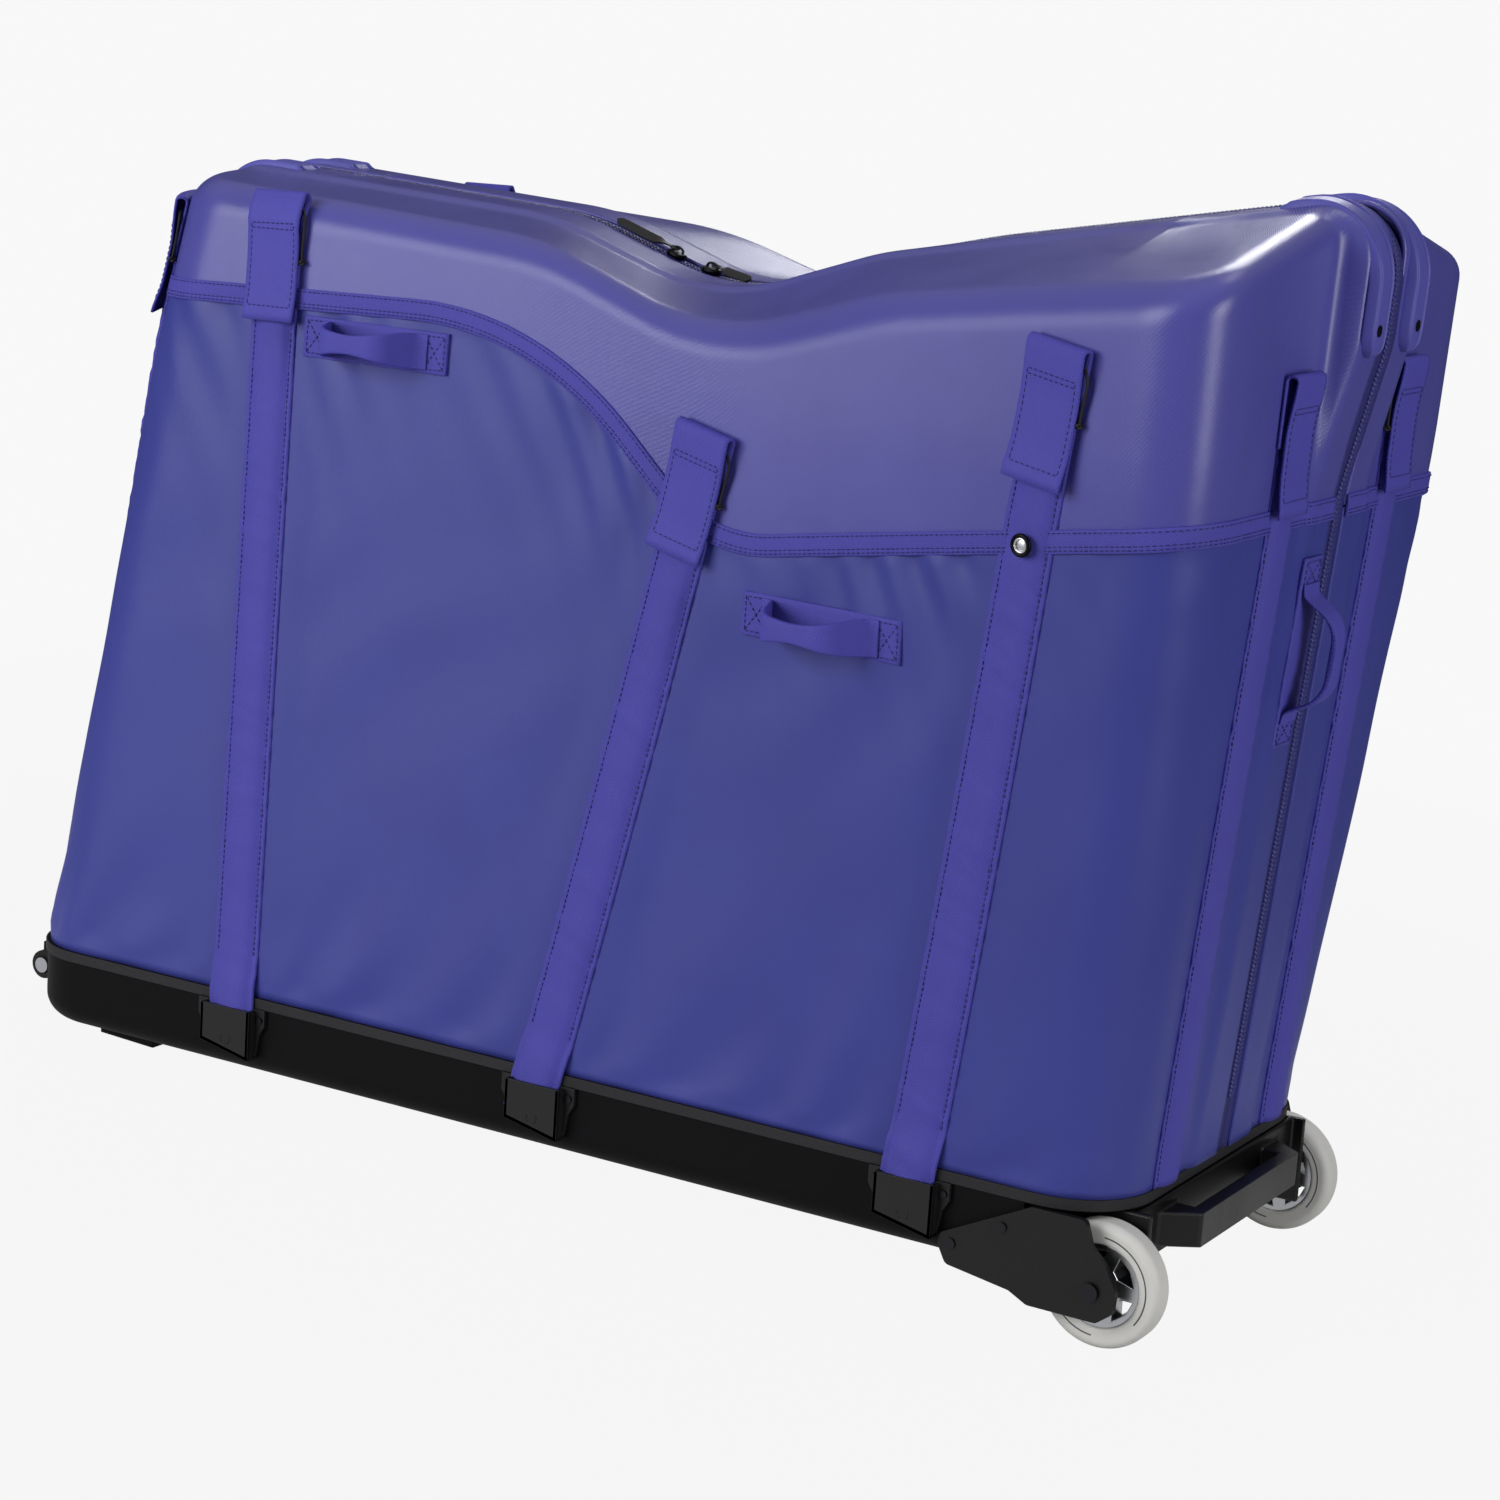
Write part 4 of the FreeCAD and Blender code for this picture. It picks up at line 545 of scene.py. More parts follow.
def hem_points(start, way):
    """Points where the rays' upright planes cross the hem, settling height and place in turns."""
    points = meet(start, way)
    for _ in range(12):
        lifted = start.copy()
        lifted[..., 2] = hem_height(points[..., 0])
        points = meet(lifted, way)
    return points


def reach_of(points):
    """Length along a path at each of its points."""
    return np.concatenate(((0,), np.cumsum(np.linalg.norm(np.diff(points, axis=0), axis=-1))))


def read_off(along, reach, table):
    """Rows of a table at lengths along a path, straight between its points."""
    return np.stack([np.interp(along, reach, column) for column in table.T], -1)


def tube_map(along, across):
    """Cloth map of a tube's rings, with a spot for the middle of each end."""
    lay = np.stack(np.broadcast_arrays(along, across), -1).reshape(-1, 2)
    return np.concatenate((lay, lay[:1], lay[-1:]))


class Track:
    """A path on the case, read by the length along it."""

    def __init__(self, points):
        self.points = points
        self.reach = reach_of(points)
        self.ways = unit(np.gradient(points, axis=0))
        self.long = self.reach[-1]

    def lay(self, along, across, lift):
        """Points at lengths along the path, moved across it on the case and lifted off its face."""
        along, across, lift = np.broadcast_arrays(along, across, lift)
        points, ways = (read_off(along, self.reach, table) for table in (self.points, self.ways))
        points = settle(points + np.cross(outward(points), ways) * across[..., None])
        return points + outward(points) * lift[..., None]


def stay_track(stay, kind):
    """Middle line of a stay sleeve, from its foot in the socket to its tip."""
    foot, head, height = stay
    low = STAY_FOOT if kind == "side" else FOOT + 0.001
    z = np.linspace(low, height, 60)
    run = foot + (head - foot) * (z - FOOT) / (height - FOOT)
    if kind == "side":
        start = np.stack((run, 0 * z + RAY_START, z), -1)
        return Track(meet(start, np.array((0.0, -1.0, 0.0))))
    way = 1.0 if kind == "rear" else -1.0
    start = np.stack((0 * z + (FAN_REAR if way > 0 else FAN_FRONT), run, z), -1)
    return Track(meet(start, np.array((way, 0.0, 0.0))))


def near_stays():
    """Middle lines of the near stays: three at the side, one at each end."""
    tracks = [stay_track(stay, "side") for stay in SIDE_STAYS]
    return tracks + [stay_track(REAR_STAY, "rear"), stay_track(FRONT_STAY, "front")]


def handle_place(word):
    """Point on the wall under a handle, with the ways along, across and out from it."""
    if word == "end":
        at = meet(np.array((FAN_REAR, END_HANDLE[0], END_HANDLE[1])), np.array((1.0, 0.0, 0.0)))
        way = np.array((0.0, 0.0, 1.0))
    else:
        x, z = HANDLES[word]
        at = meet(np.array((x, RAY_START, z)), np.array((0.0, -1.0, 0.0)))
        way = np.array((1.0, 0.0, 0.0))
    out = outward(at)
    along = unit(way - out * (way @ out))
    return at, along, np.cross(out, along), out


SPINE_REACH = reach_of(SPINE_LINE)


def spine_lay(along, y, lift):
    """Points over the spine at lengths along its line, at a side distance and a height off it."""
    ways = unit(np.gradient(SPINE_LINE, SPINE_REACH, axis=0))
    along, y, lift = np.broadcast_arrays(along, y, lift)
    x, z = np.moveaxis(read_off(along, SPINE_REACH, SPINE_LINE), -1, 0)
    way_x, way_z = np.moveaxis(read_off(along, SPINE_REACH, ways), -1, 0)
    lift = lift + spine_crown(x, y) * np.clip(way_x, 0, 1) ** 2
    return np.stack((x - way_z * lift, y, z + way_x * lift), -1)


def spine_length(x, z):
    """Length along the spine's line at its point nearest to a place."""
    fine = np.linspace(0, SPINE_REACH[-1], 6000)
    gap = np.linalg.norm(read_off(fine, SPINE_REACH, SPINE_LINE) - (x, z), axis=-1)
    return fine[np.argmin(gap)]


def row_frame(points):
    """Case points in the shared frame, which leans the case on its wheels and skid."""
    return (CASE_ORIGIN + points[..., :1] * CASE_ALONG + points[..., 1:2] * CASE_ACROSS
            + points[..., 2:3] * CASE_UP)


def case_point(place):
    """A point of the shared frame in the case's own frame."""
    away = np.array(place) - CASE_ORIGIN
    return np.array((away @ CASE_ALONG, away @ CASE_ACROSS, away @ CASE_UP))


def grid_faces(rows, columns, closed):
    """Corner numbers of the faces of a grid whose rows may close on themselves."""
    wide = columns if closed else columns - 1
    row, column = np.meshgrid(np.arange(rows - 1), np.arange(wide), indexing="ij")
    after = (column + 1) % columns
    return np.stack((row * columns + column, row * columns + after, (row + 1) * columns + after,
                     (row + 1) * columns + column), -1).reshape(-1, 4)


def tube(rings):
    """Points and faces of a closed loft through rings, with a fan of faces over each end."""
    count, around = rings.shape[:2]
    points = np.concatenate((rings.reshape(-1, 3), rings[:1].mean(1), rings[-1:].mean(1)))
    faces = grid_faces(count, around, True).tolist()
    ring, middle = np.arange(around), count * around
    after, last = (ring + 1) % around, (count - 1) * around
    faces += np.stack((after, ring, 0 * ring + middle), -1).tolist()
    faces += np.stack((last + ring, last + after, 0 * ring + middle + 1), -1).tolist()
    first = points[np.array(faces[:last])]
    volume = np.einsum("ij,ij->", np.cross(first[:, 1] - first[:, 0], first[:, 2] - first[:, 0]),
                       first.mean(1) - points[:-2].mean(0))
    return points, faces if volume > 0 else [face[::-1] for face in faces]


def joined(parts):
    """One list of points and one of faces from several."""
    shifts = np.cumsum([0] + [len(points) for points, _ in parts]).tolist()
    faces = [[corner + shift for corner in face]
             for (_, some), shift in zip(parts, shifts) for face in some]
    return np.concatenate([points for points, _ in parts]), faces


def piece(name, points, faces, finish, hold, nodes, slot, cloth_map=None, mirror=1, flat=False):
    """A new object in the shared frame: cloth map in metres, finish, and any body it moves with."""
    points = row_frame(points * (1, mirror, 1))
    faces = [face[::-1] for face in faces] if mirror < 0 else faces
    mesh = bpy.data.meshes.new(name)
    mesh.from_pydata(points.tolist(), [], faces)
    mesh.polygons.foreach_set("use_smooth", np.full(len(mesh.polygons), not flat))
    if cloth_map is not None:
        corner = np.empty(len(mesh.loops), int)
        mesh.loops.foreach_get("vertex_index", corner)
        places = cloth_map[corner].astype(np.float32).ravel()
        mesh.uv_layers.new(name="lay").data.foreach_set("uv", places)
    mesh.materials.append(finish)
    thing = bpy.data.objects.new(name, mesh)
    bpy.context.scene.collection.objects.link(thing)
    if isinstance(hold, tuple):
        spots = hold[2:] or ((-0.5, 0.0, SEAM_LOW), (-0.5, 0.0, SEAM_HIGH))
        spots = [tuple(row_frame(np.array(spot) * (1, mirror, 1))) for spot in spots]
        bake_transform(thing)
    else:
        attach(thing, hold)
    if nodes:
        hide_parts(*nodes)
    return thing


def pair(name, shape, finish, hold, nodes, slot, cloth_map=None, flat=False):
    """A near piece and its mirror on the far side, each moving with its half or a body, or fixed.
    """
    made = []
    for side, mirror in SIDES:
        half = side + "_half"
        rides = {"half": half, "seam": ("base", half)}.get(hold, hold)
        replaced = [side + "_" + node for node in nodes]
        made.append(piece(side + "_" + name, *shape, finish, rides, replaced, slot, cloth_map,
                          mirror, flat))
    return made


def grid_shape(points):
    """Points and faces of an open grid."""
    return points.reshape(-1, 3), grid_faces(*points.shape[:2], False).tolist()


def sewn_together(strips):
    """Several strips as one: points and faces, and the cloth map."""
    return joined([strip[:2] for strip in strips]), np.concatenate([strip[2] for strip in strips])


def sewn_strip(track, outline, lift, count=None):
    """Closed strip on the case: an outline carried along a track and lifted by a function."""
    along = np.linspace(0.0, track.long, count or max(4, int(track.long / 0.006)))[:, None]
    side, rise = outline.T[:, None]
    return (*tube(track.lay(along, side, rise + lift(along, side))), tube_map(along, side))


def flat_outline(width, height, edge=0.0006):
    """Outline of a flat tape: a thin oblong with softened edges."""
    half = width / 2
    side = np.linspace(-half + edge, half - edge, 9)
    top = np.stack((side, 0 * side + height), -1)
    left, right = ((-half, -edge), (-half, height - edge)), ((half, height - edge), (half, -edge))
    return np.concatenate((left, top, right))


def sleeve_outline(width, crown):
    """Outline of a stay sleeve: flat stitched flanges and a rounded bulge over the stay."""
    half = width / 2
    side = np.linspace(-half + 0.0055, half - 0.0055, 13)
    bulge = 0.0020 + (crown - 0.0020) * (1 - np.abs(side / side[0]) ** 2.6) ** 0.7
    left = ((-half, -0.0006), (-half, 0.0014), (-half + 0.0012, 0.0021), (-half + 0.0040, 0.0012))
    right = tuple((-x, z) for x, z in left[::-1])
    return np.concatenate((left, np.stack((side, bulge), -1), right))


def gather(along, across):
    """Puckers of a sewn strip: three waves of unlike pitch, the finest fading in and out."""
    fine = np.sin(along * 720 + across * 90) * (0.5 + 0.5 * np.sin(along * 31))
    return 0.00030 * (fine + 0.6 * np.sin(along * 410 - across * 140 + 1.0)
                      + 0.5 * np.sin(along * 173 + 2.0))


def thread_line(track, corners, lift, pitch):
    """Middles, ways and outward ways of stitches on a broken line over a track, with a lift."""
    corners = np.array(corners, float)
    reach = reach_of(corners)
    count = max(2, int(reach[-1] / pitch))
    place = (np.arange(count) + 0.5) * reach[-1] / count
    along, across = read_off(place, reach, corners).T
    ahead, aside = read_off(place + pitch / 3, reach, corners).T
    middles = track.lay(along, across, lift(along))
    return middles, track.lay(ahead, aside, lift(ahead)) - middles, outward(middles)


def thread_beads(lines, long, thick):
    """Every stitch as a short bead of four rings of four corners, raised in the middle."""
    middles, ways, outs = (np.concatenate(part) for part in zip(*lines))
    keep = np.linalg.norm(ways, axis=-1) > 1e-7
    middles, ways, outs = middles[keep], unit(ways[keep]), outs[keep]
    sides = np.cross(outs, ways)
    run = np.array((-0.5, -0.28, 0.28, 0.5))[:, None] * long
    girth = np.array((0.25, 1.0, 1.0, 0.25))[:, None]
    turn = np.arange(4) * np.pi / 2
    side, rise = girth * np.cos(turn) * thick * 0.55, girth * np.sin(turn) * thick * 0.55
    shape = np.stack(np.broadcast_arrays(run, side, rise), -1).reshape(-1, 3)
    points = (middles[:, None] + shape[None, :, :1] * ways[:, None]
              + shape[None, :, 1:2] * sides[:, None] + shape[None, :, 2:] * outs[:, None])
    faces = np.concatenate((grid_faces(4, 4, True)[:, ::-1], ((0, 1, 2, 3), (15, 14, 13, 12))))
    faces = faces[None, :, ::-1] + 16 * np.arange(len(points))[:, None, None]
    return points.reshape(-1, 3), faces.reshape(-1, 4).tolist()


def oval(power, corners=20):
    """Rounded square of side 1: each axis is a circle's, to the power of two over the one given."""
    turn = np.linspace(0, 2 * np.pi, corners, endpoint=False)
    return np.stack([np.sign(axis) * np.abs(axis) ** (2 / power) / 2
                     for axis in (np.cos(turn), np.sin(turn))], -1)


def rope(points, radius, around=8):
    """Round cord through points: circles across the way of the path."""
    ways = unit(np.gradient(points, axis=0))
    side = unit(np.cross(ways, np.array((0.31, 0.47, 0.83))))
    rise = np.cross(ways, side)
    turn = np.linspace(0, 2 * np.pi, around, endpoint=False)
    circle = (np.cos(turn)[None, :, None] * side[:, None]
              + np.sin(turn)[None, :, None] * rise[:, None])
    return tube(points[:, None] + radius * circle)


def bent(points, count):
    """Smooth path through points by the cubic of each four neighbours."""
    points = np.array(points, float)
    padded = np.concatenate((2 * points[:1] - points[1:2], points, 2 * points[-1:] - points[-2:-1]))
    place = np.linspace(0, len(points) - 1, count)
    step = np.minimum(place.astype(int), len(points) - 2)
    t = (place - step)[:, None]
    a, b, c, d = (padded[step + shift] for shift in range(4))
    return 0.5 * (2 * b + (c - a) * t + (2 * a - 5 * b + 4 * c - d) * t ** 2
                  + (3 * b - a - 3 * c + d) * t ** 3)


def wall_folds(points, cloth):
    """Depth of the folds in the wall: slanting creases that fade away from hem and foot, over
    a slow belly, all of them flat at the edges and under the sleeves."""
    x, y, z = points[..., 0], points[..., 1], points[..., 2]
    run = x - 1.2 * y
    from_hem, from_foot = hem_height(x) - z, z - FOOT
    wander = 0.35 * np.sin(run * 23) + 0.3 * np.sin(z * 19 + 1.3)
    hem_fold = np.exp(-from_hem / HEM_FOLD_REACH) * np.sin((run + 0.55 * z) * 118 + 2.4 * wander)
    hem_fold = hem_fold * (0.6 + 0.4 * np.sin(run * 17))
    foot_fold = np.exp(-from_foot / FOOT_FOLD_REACH) * np.sin((run - 0.35 * z) * 84 + 3.1 * wander)
    long_fold = np.sin((run - 0.85 * z) * 37 + 2.0 * wander) * np.sin(z * 11 + run * 5) * 0.55
    climb = from_foot / np.maximum(hem_height(x) - FOOT, 0.1)
    belly = np.sin(climb * np.pi) * np.sin(run * 9.4 + 0.4)
    gap = np.min([np.linalg.norm(points[..., None, :] - track.points, axis=-1).min(-1)
                  for track in near_stays()], 0)
    flat = smooth(from_foot / 0.02) * smooth(from_hem / 0.015) * smooth((-y - ZIP_HALF) / 0.06)
    flat = flat * smooth((gap - cloth.sleeve_width / 2) / SLEEVE_EASE)
    creases = hem_fold + 0.8 * foot_fold + 0.5 * long_fold
    return (cloth.wrinkle * creases + cloth.billow * 0.5 * belly) * flat


def cut_area(points):
    """Area of a grid: half the length of the cross product of each face's diagonals, added up."""
    rise, fall = points[1:, 1:] - points[:-1, :-1], points[1:, :-1] - points[:-1, 1:]
    return np.linalg.norm(np.cross(rise, fall), axis=-1).sum() / 2


def thicken(thing, depth):
    """Give an open skin a body inside its face."""
    solid = thing.modifiers.new("body", "SOLIDIFY")
    solid.thickness, solid.offset = depth, -1
    solid.use_even_offset = True


class CASE_OT_walls(bpy.types.Operator):
    """Sew the cloth walls from the tray's rim to the hem"""
    bl_idname = "case.walls"
    bl_label = "Cloth walls"

    def execute(self, context):
        cloth, colours = context.scene.case_cloth, context.scene.case_colours
        start, way = fan()
        hem = hem_points(start, way)
        share = np.linspace(0, 1, cloth.rows)[:, None]
        starts = np.repeat(start[None], len(share), 0)
        starts[..., 2] = FOOT + (hem[None, :, 2] - WALL_UNDER_HEM - FOOT) * share
        points = meet(starts, np.repeat(way[None], len(share), 0))
        lift = wall_folds(points, cloth) - WALL_SINK
        points = points + outward(points) * lift[..., None]
        run = np.cumsum(np.linalg.norm(np.gradient(hem, axis=0), axis=-1))
        lay = np.stack(np.broadcast_arrays(run[None], points[..., 2]), -1).reshape(-1, 2)
        finish = cloth_finish("wall cloth", tuple(colours.wall), pitch=0.0011, weave=0.5,
                              rough=0.40, depth=0.00006, gloss=0.30)
        made = pair("wall", grid_shape(points), finish, "seam", ["fabric_wall"], "wall_fabric", lay)
        for (side, _), thing in zip(SIDES, made):
            thicken(thing, SKIN)
            float(cut_area(points))
        return {"FINISHED"}


class CASE_OT_shells(bpy.types.Operator):
    """Mould the two upper shells from the hem to the zip"""
    bl_idname = "case.shells"
    bl_label = "Moulded shells"

    def execute(self, context):
        colours = context.scene.case_colours
        start, way = fan()
        up = np.array((0, 0, 1.0))
        low, high = np.full(len(start), CLIMB_LOW), np.full(len(start), CLIMB_HIGH)
        for _ in range(30):
            middle = (low + high) / 2
            hit = meet(start, way * np.cos(middle)[:, None] + np.sin(middle)[:, None] * up)
            under = hit[:, 2] < hem_height(hit[:, 0])
            low, high = np.where(under, middle, low), np.where(under, high, middle)
        climb = low[None] + (np.pi / 2 - low[None]) * np.linspace(0, 1, SHELL_ROWS)[:, None]
        ways = way[None] * np.cos(climb)[..., None] + np.sin(climb)[..., None] * up
        points = meet(np.repeat(start[None], len(climb), 0), ways)
        run = np.cumsum(np.linalg.norm(np.gradient(points[0], axis=0), axis=-1))
        steps = np.diff(points, axis=0, prepend=points[:1])
        rise = np.cumsum(np.linalg.norm(steps, axis=-1), axis=0)
        lay = np.stack(np.broadcast_arrays(run[None], rise), -1).reshape(-1, 2)
        finish = cloth_finish("shell twill", tuple(colours.shell), pitch=0.0019, weave=0.85,
                              rough=0.25, depth=0.00006, gloss=0.42)
        shape = grid_shape(points)
        for thing in pair("shell", shape, finish, "half", ["upper_shell"], "shell_twill", lay):
            thicken(thing, SKIN)
        return {"FINISHED"}


def hem_track():
    """The hem's line round the near half."""
    return Track(hem_points(*fan(60, 260)))


class CASE_OT_hem(bpy.types.Operator):
    """Bind the hem between wall and shell with a stitched tape"""
    bl_idname = "case.hem"
    bl_label = "Hem tape"

    def execute(self, context):
        cloth, colours = context.scene.case_cloth, context.scene.case_colours
        outline = flat_outline(cloth.hem_width, 0.0022)
        *shape, lay = sewn_strip(hem_track(), outline, lambda a, c: 0.8 * gather(a, c), count=340)
        finish = webbing_finish("hem webbing", tuple(colours.webbing))
        pair("hem", shape, finish, "half", ["hem_tape"], "webbing", lay)
        return {"FINISHED"}


class CASE_OT_sleeves(bpy.types.Operator):
    """Sew the stay sleeves, of which those at the side go down into the strap sockets"""
    bl_idname = "case.sleeves"
    bl_label = "Stay sleeves"

    def execute(self, context):
        cloth, colours = context.scene.case_cloth, context.scene.case_colours
        outline = sleeve_outline(cloth.sleeve_width, cloth.sleeve_crown)
        strips = []
        for number, track in enumerate(near_stays()):
            tuck = SOCKET_TUCK if number < len(SIDE_STAYS) else 0.0

            def rise(along, across, number=number, tuck=tuck):
                pucker = 1.6 * gather(along + 0.3 * number, across) * smooth(along / 0.05)
                return tuck * smooth((SOCKET_REACH - along) / 0.03) + pucker
            strips.append(sewn_strip(track, outline, rise))
        shape, lay = sewn_together(strips)
        finish = webbing_finish("sleeve webbing", tuple(colours.webbing))
        pair("sleeves", shape, finish, "seam", ["stay_sleeves", "stays"], "webbing", lay)
        return {"FINISHED"}


def flap_height(cloth, along, number):
    """Height of a cap's flap from the tip on: a high fold, a slight dip and a free end."""
    share = (CAP_TIP - along) / cloth.cap_length
    fold = 0.0034 * (1 - smooth(share / 0.42))
    free = (0.0020 + 0.0010 * (number % 3)) * smooth((share - 0.7) / 0.3)
    return 0.0094 + fold - 0.0008 * np.sin(share * np.pi) + free


def cap_path(cloth, number):
    """Length and height of a cap's webbing: a short under layer, a fold over the tip, the flap."""
    under = np.stack((np.linspace(-0.045, CAP_TIP, 8), np.full(8, 0.0012)), -1)
    turn = np.linspace(-np.pi / 2, np.pi / 2, 9)[1:-1]
    fold = np.stack((CAP_TIP + 0.0050 * np.cos(turn), 0.0070 + 0.0058 * np.sin(turn)), -1)
    along = np.linspace(CAP_TIP, CAP_TIP - cloth.cap_length, 18)
    return np.concatenate((under, fold, np.stack((along, flap_height(cloth, along, number)), -1)))


def over_tip(track, along, across, lift):
    """Points on a stay's line measured from its tip, straight on past the tip."""
    along, across, lift = np.broadcast_arrays(along, across, lift)
    points = track.lay(np.minimum(track.long + along, track.long), across, lift)
    return points + track.ways[-1] * np.maximum(along, 0)[..., None]


class CASE_OT_caps(bpy.types.Operator):
    """Fold a webbing cap over the tip of each stay sleeve"""
    bl_idname = "case.caps"
    bl_label = "Stay caps"

    def execute(self, context):
        cloth, colours = context.scene.case_cloth, context.scene.case_colours
        side = np.linspace(-cloth.cap_width / 2, cloth.cap_width / 2, 13)
        strips = []
        for number, track in enumerate(near_stays()):
            path = cap_path(cloth, number)
            face = unit(np.stack((-np.gradient(path[:, 1]), np.gradient(path[:, 0])), -1))
            inner, outer = (over_tip(track, skin[:, None, 0], side[None], skin[:, None, 1])
                            for skin in (path, path + face * CAP_THICK))
            reach = np.cumsum(np.linalg.norm(np.gradient(path, axis=0), axis=-1))[:, None]
            strips.append((*tube(np.concatenate((inner, outer[:, ::-1]), 1)),
                           tube_map(reach, np.concatenate((side, side[::-1]))[None])))
        shape, lay = sewn_together(strips)
        finish = webbing_finish("cap webbing", shade(tuple(colours.webbing), 1.06))
        pair("caps", shape, finish, "half", ["stay_caps"], "webbing", lay)
        return {"FINISHED"}


class CASE_OT_cords(bpy.types.Operator):
    """Hang a knotted elastic cord beside each cap"""
    bl_idname = "case.cords"
    bl_label = "Cord ends"

    def execute(self, context):
        finish = moulded_finish("cord", (0.012, 0.012, 0.014, 1.0),
                                rough=0.6, grain=900.0, depth=0.0003)
        for number, track in enumerate(near_stays()):
            route = over_tip(track, *np.array(CORD_ROUTE).T)
            for side, mirror in SIDES:
                name = "%s_cord_%d" % (side, number + 1)
                knot = piece(name + "_knot", *cord_knot(route), finish, side + "_half",
                             [side + "_cord_ends"], "cord_black", None, mirror)
                hang_cord(name, row_frame(route * (1, mirror, 1)), finish, side)
        return {"FINISHED"}


def cord_knot(route):
    """Knot at a cord's end: a three-leaved loop, twice round as it weaves thrice in and out."""
    turn = np.linspace(0.1, 2 * np.pi - 0.1, 72)
    out = 2 + np.cos(3 * turn)
    leaf = np.stack((out * np.cos(2 * turn), out * np.sin(2 * turn), np.sin(3 * turn) * 1.6), -1)
    return rope(route[-1] + leaf * KNOT_SIZE, CORD_THICK * 0.46)


def hang_cord(name, places, finish, side):
    """A cord on one smooth curve along its route, moving with its half."""
    line = bpy.data.curves.new(name, "CURVE")
    line.dimensions = "3D"
    spline = line.splines.new("NURBS")
    spline.points.add(len(places) - 1)
    spline.points.foreach_set("co", np.column_stack((places, np.ones(len(places)))).ravel())
    spline.order_u, spline.use_endpoint_u = 3, True
    thing = bpy.data.objects.new(name, line)
    bpy.context.scene.collection.objects.link(thing)
    mesh = bpy.data.meshes.new_from_object(thing)
    spots = np.empty(3 * len(mesh.vertices))
    mesh.vertices.foreach_get("co", spots)
    bpy.data.meshes.remove(mesh)
    line.bevel_depth, line.bevel_resolution, line.use_fill_caps = CORD_THICK / 2, 3, True
    line.materials.append(finish)
    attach(thing, side + "_half")
    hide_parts(side + "_cord_ends")


def patch_track(word):
    """Middle line of a handle's patch, settled onto the wall."""
    at, along, _, _ = handle_place(word)
    return Track(settle(at + along * np.linspace(-PATCH_HALF, PATCH_HALF, 25)[:, None]))


class CASE_OT_handles(bpy.types.Operator):
    """Sew the handle patches and their webbing loops"""
    bl_idname = "case.handles"
    bl_label = "Handles"

    def execute(self, context):
        cloth, colours = context.scene.case_cloth, context.scene.case_colours
        finish = webbing_finish("handle webbing", tuple(colours.webbing))
        outline = flat_outline(0.034, 0.0024)
        for (side, mirror), words in zip(SIDES, (("front", "rear", "end"), ("front", "rear"))):
            shape, lay = sewn_together([sewn_strip(patch_track(word), outline, gather, count=30)
                                        for word in words])
            piece(side + "_patches", *shape, finish, side + "_half", [side + "_handle_patches"],
                  "webbing", lay, mirror)
            for word in words:
                at, along, _, out = handle_place(word)
                name = "%s_%s" % (side, word)
                for end, sign in (("left", -1), ("right", 1)):
                    points, faces, lay = handle_loop(word, cloth.loop_width, sign)
                    sewn, free = (at + along * sign * reach + out * LOOP_AXIS
                                  for reach in LOOP_ROOT)
                    hold = (side + "_half", name + "_loop", sewn, free)
                    made = piece("%s_%s_grip" % (name, end), points, faces, finish, hold,
                                 [name + "_handle_loop"], "webbing", lay, mirror)
                    made.data.set_sharp_from_angle(angle=math.radians(75))
        return {"FINISHED"}


def handle_loop(word, width, sign):
    """Half of a webbing arch over a patch: flat at its root, drawn in and folded at the middle."""
    at, along, across, out = handle_place(word)
    tall, bend = (0.032, 0.026) if word == "end" else (0.040, 0.018)
    corners = ((-0.054, 0.0034), (-0.045, 0.0046), (-0.029, tall), (0.029, tall))
    path = rounded_line(corners, (0.007, bend), 12) * (-sign, 1)
    path = np.concatenate((path[:-1], ((0.0, tall),)))
    reach = reach_of(path)
    place = np.linspace(0, reach[-1], 40)
    path = read_off(place, reach, path)
    ways = unit(np.gradient(path, axis=0))
    middle = smooth(np.linspace(-0.25, 1, 40))
    wide, thick = width * (1 - 0.46 * middle), 0.0024 + 0.0040 * middle
    ring = oval(5.0)
    side, rise = ring[None, :, 0] * wide[:, None], ring[None, :, 1] * thick[:, None]
    spot = path[:, None, :] + np.stack((-ways[:, 1], ways[:, 0]), -1)[:, None] * rise[..., None]
    rings = at + spot[..., :1] * along + side[..., None] * across + spot[..., 1:] * out
    return (*tube(rings), tube_map(place[:, None], side))


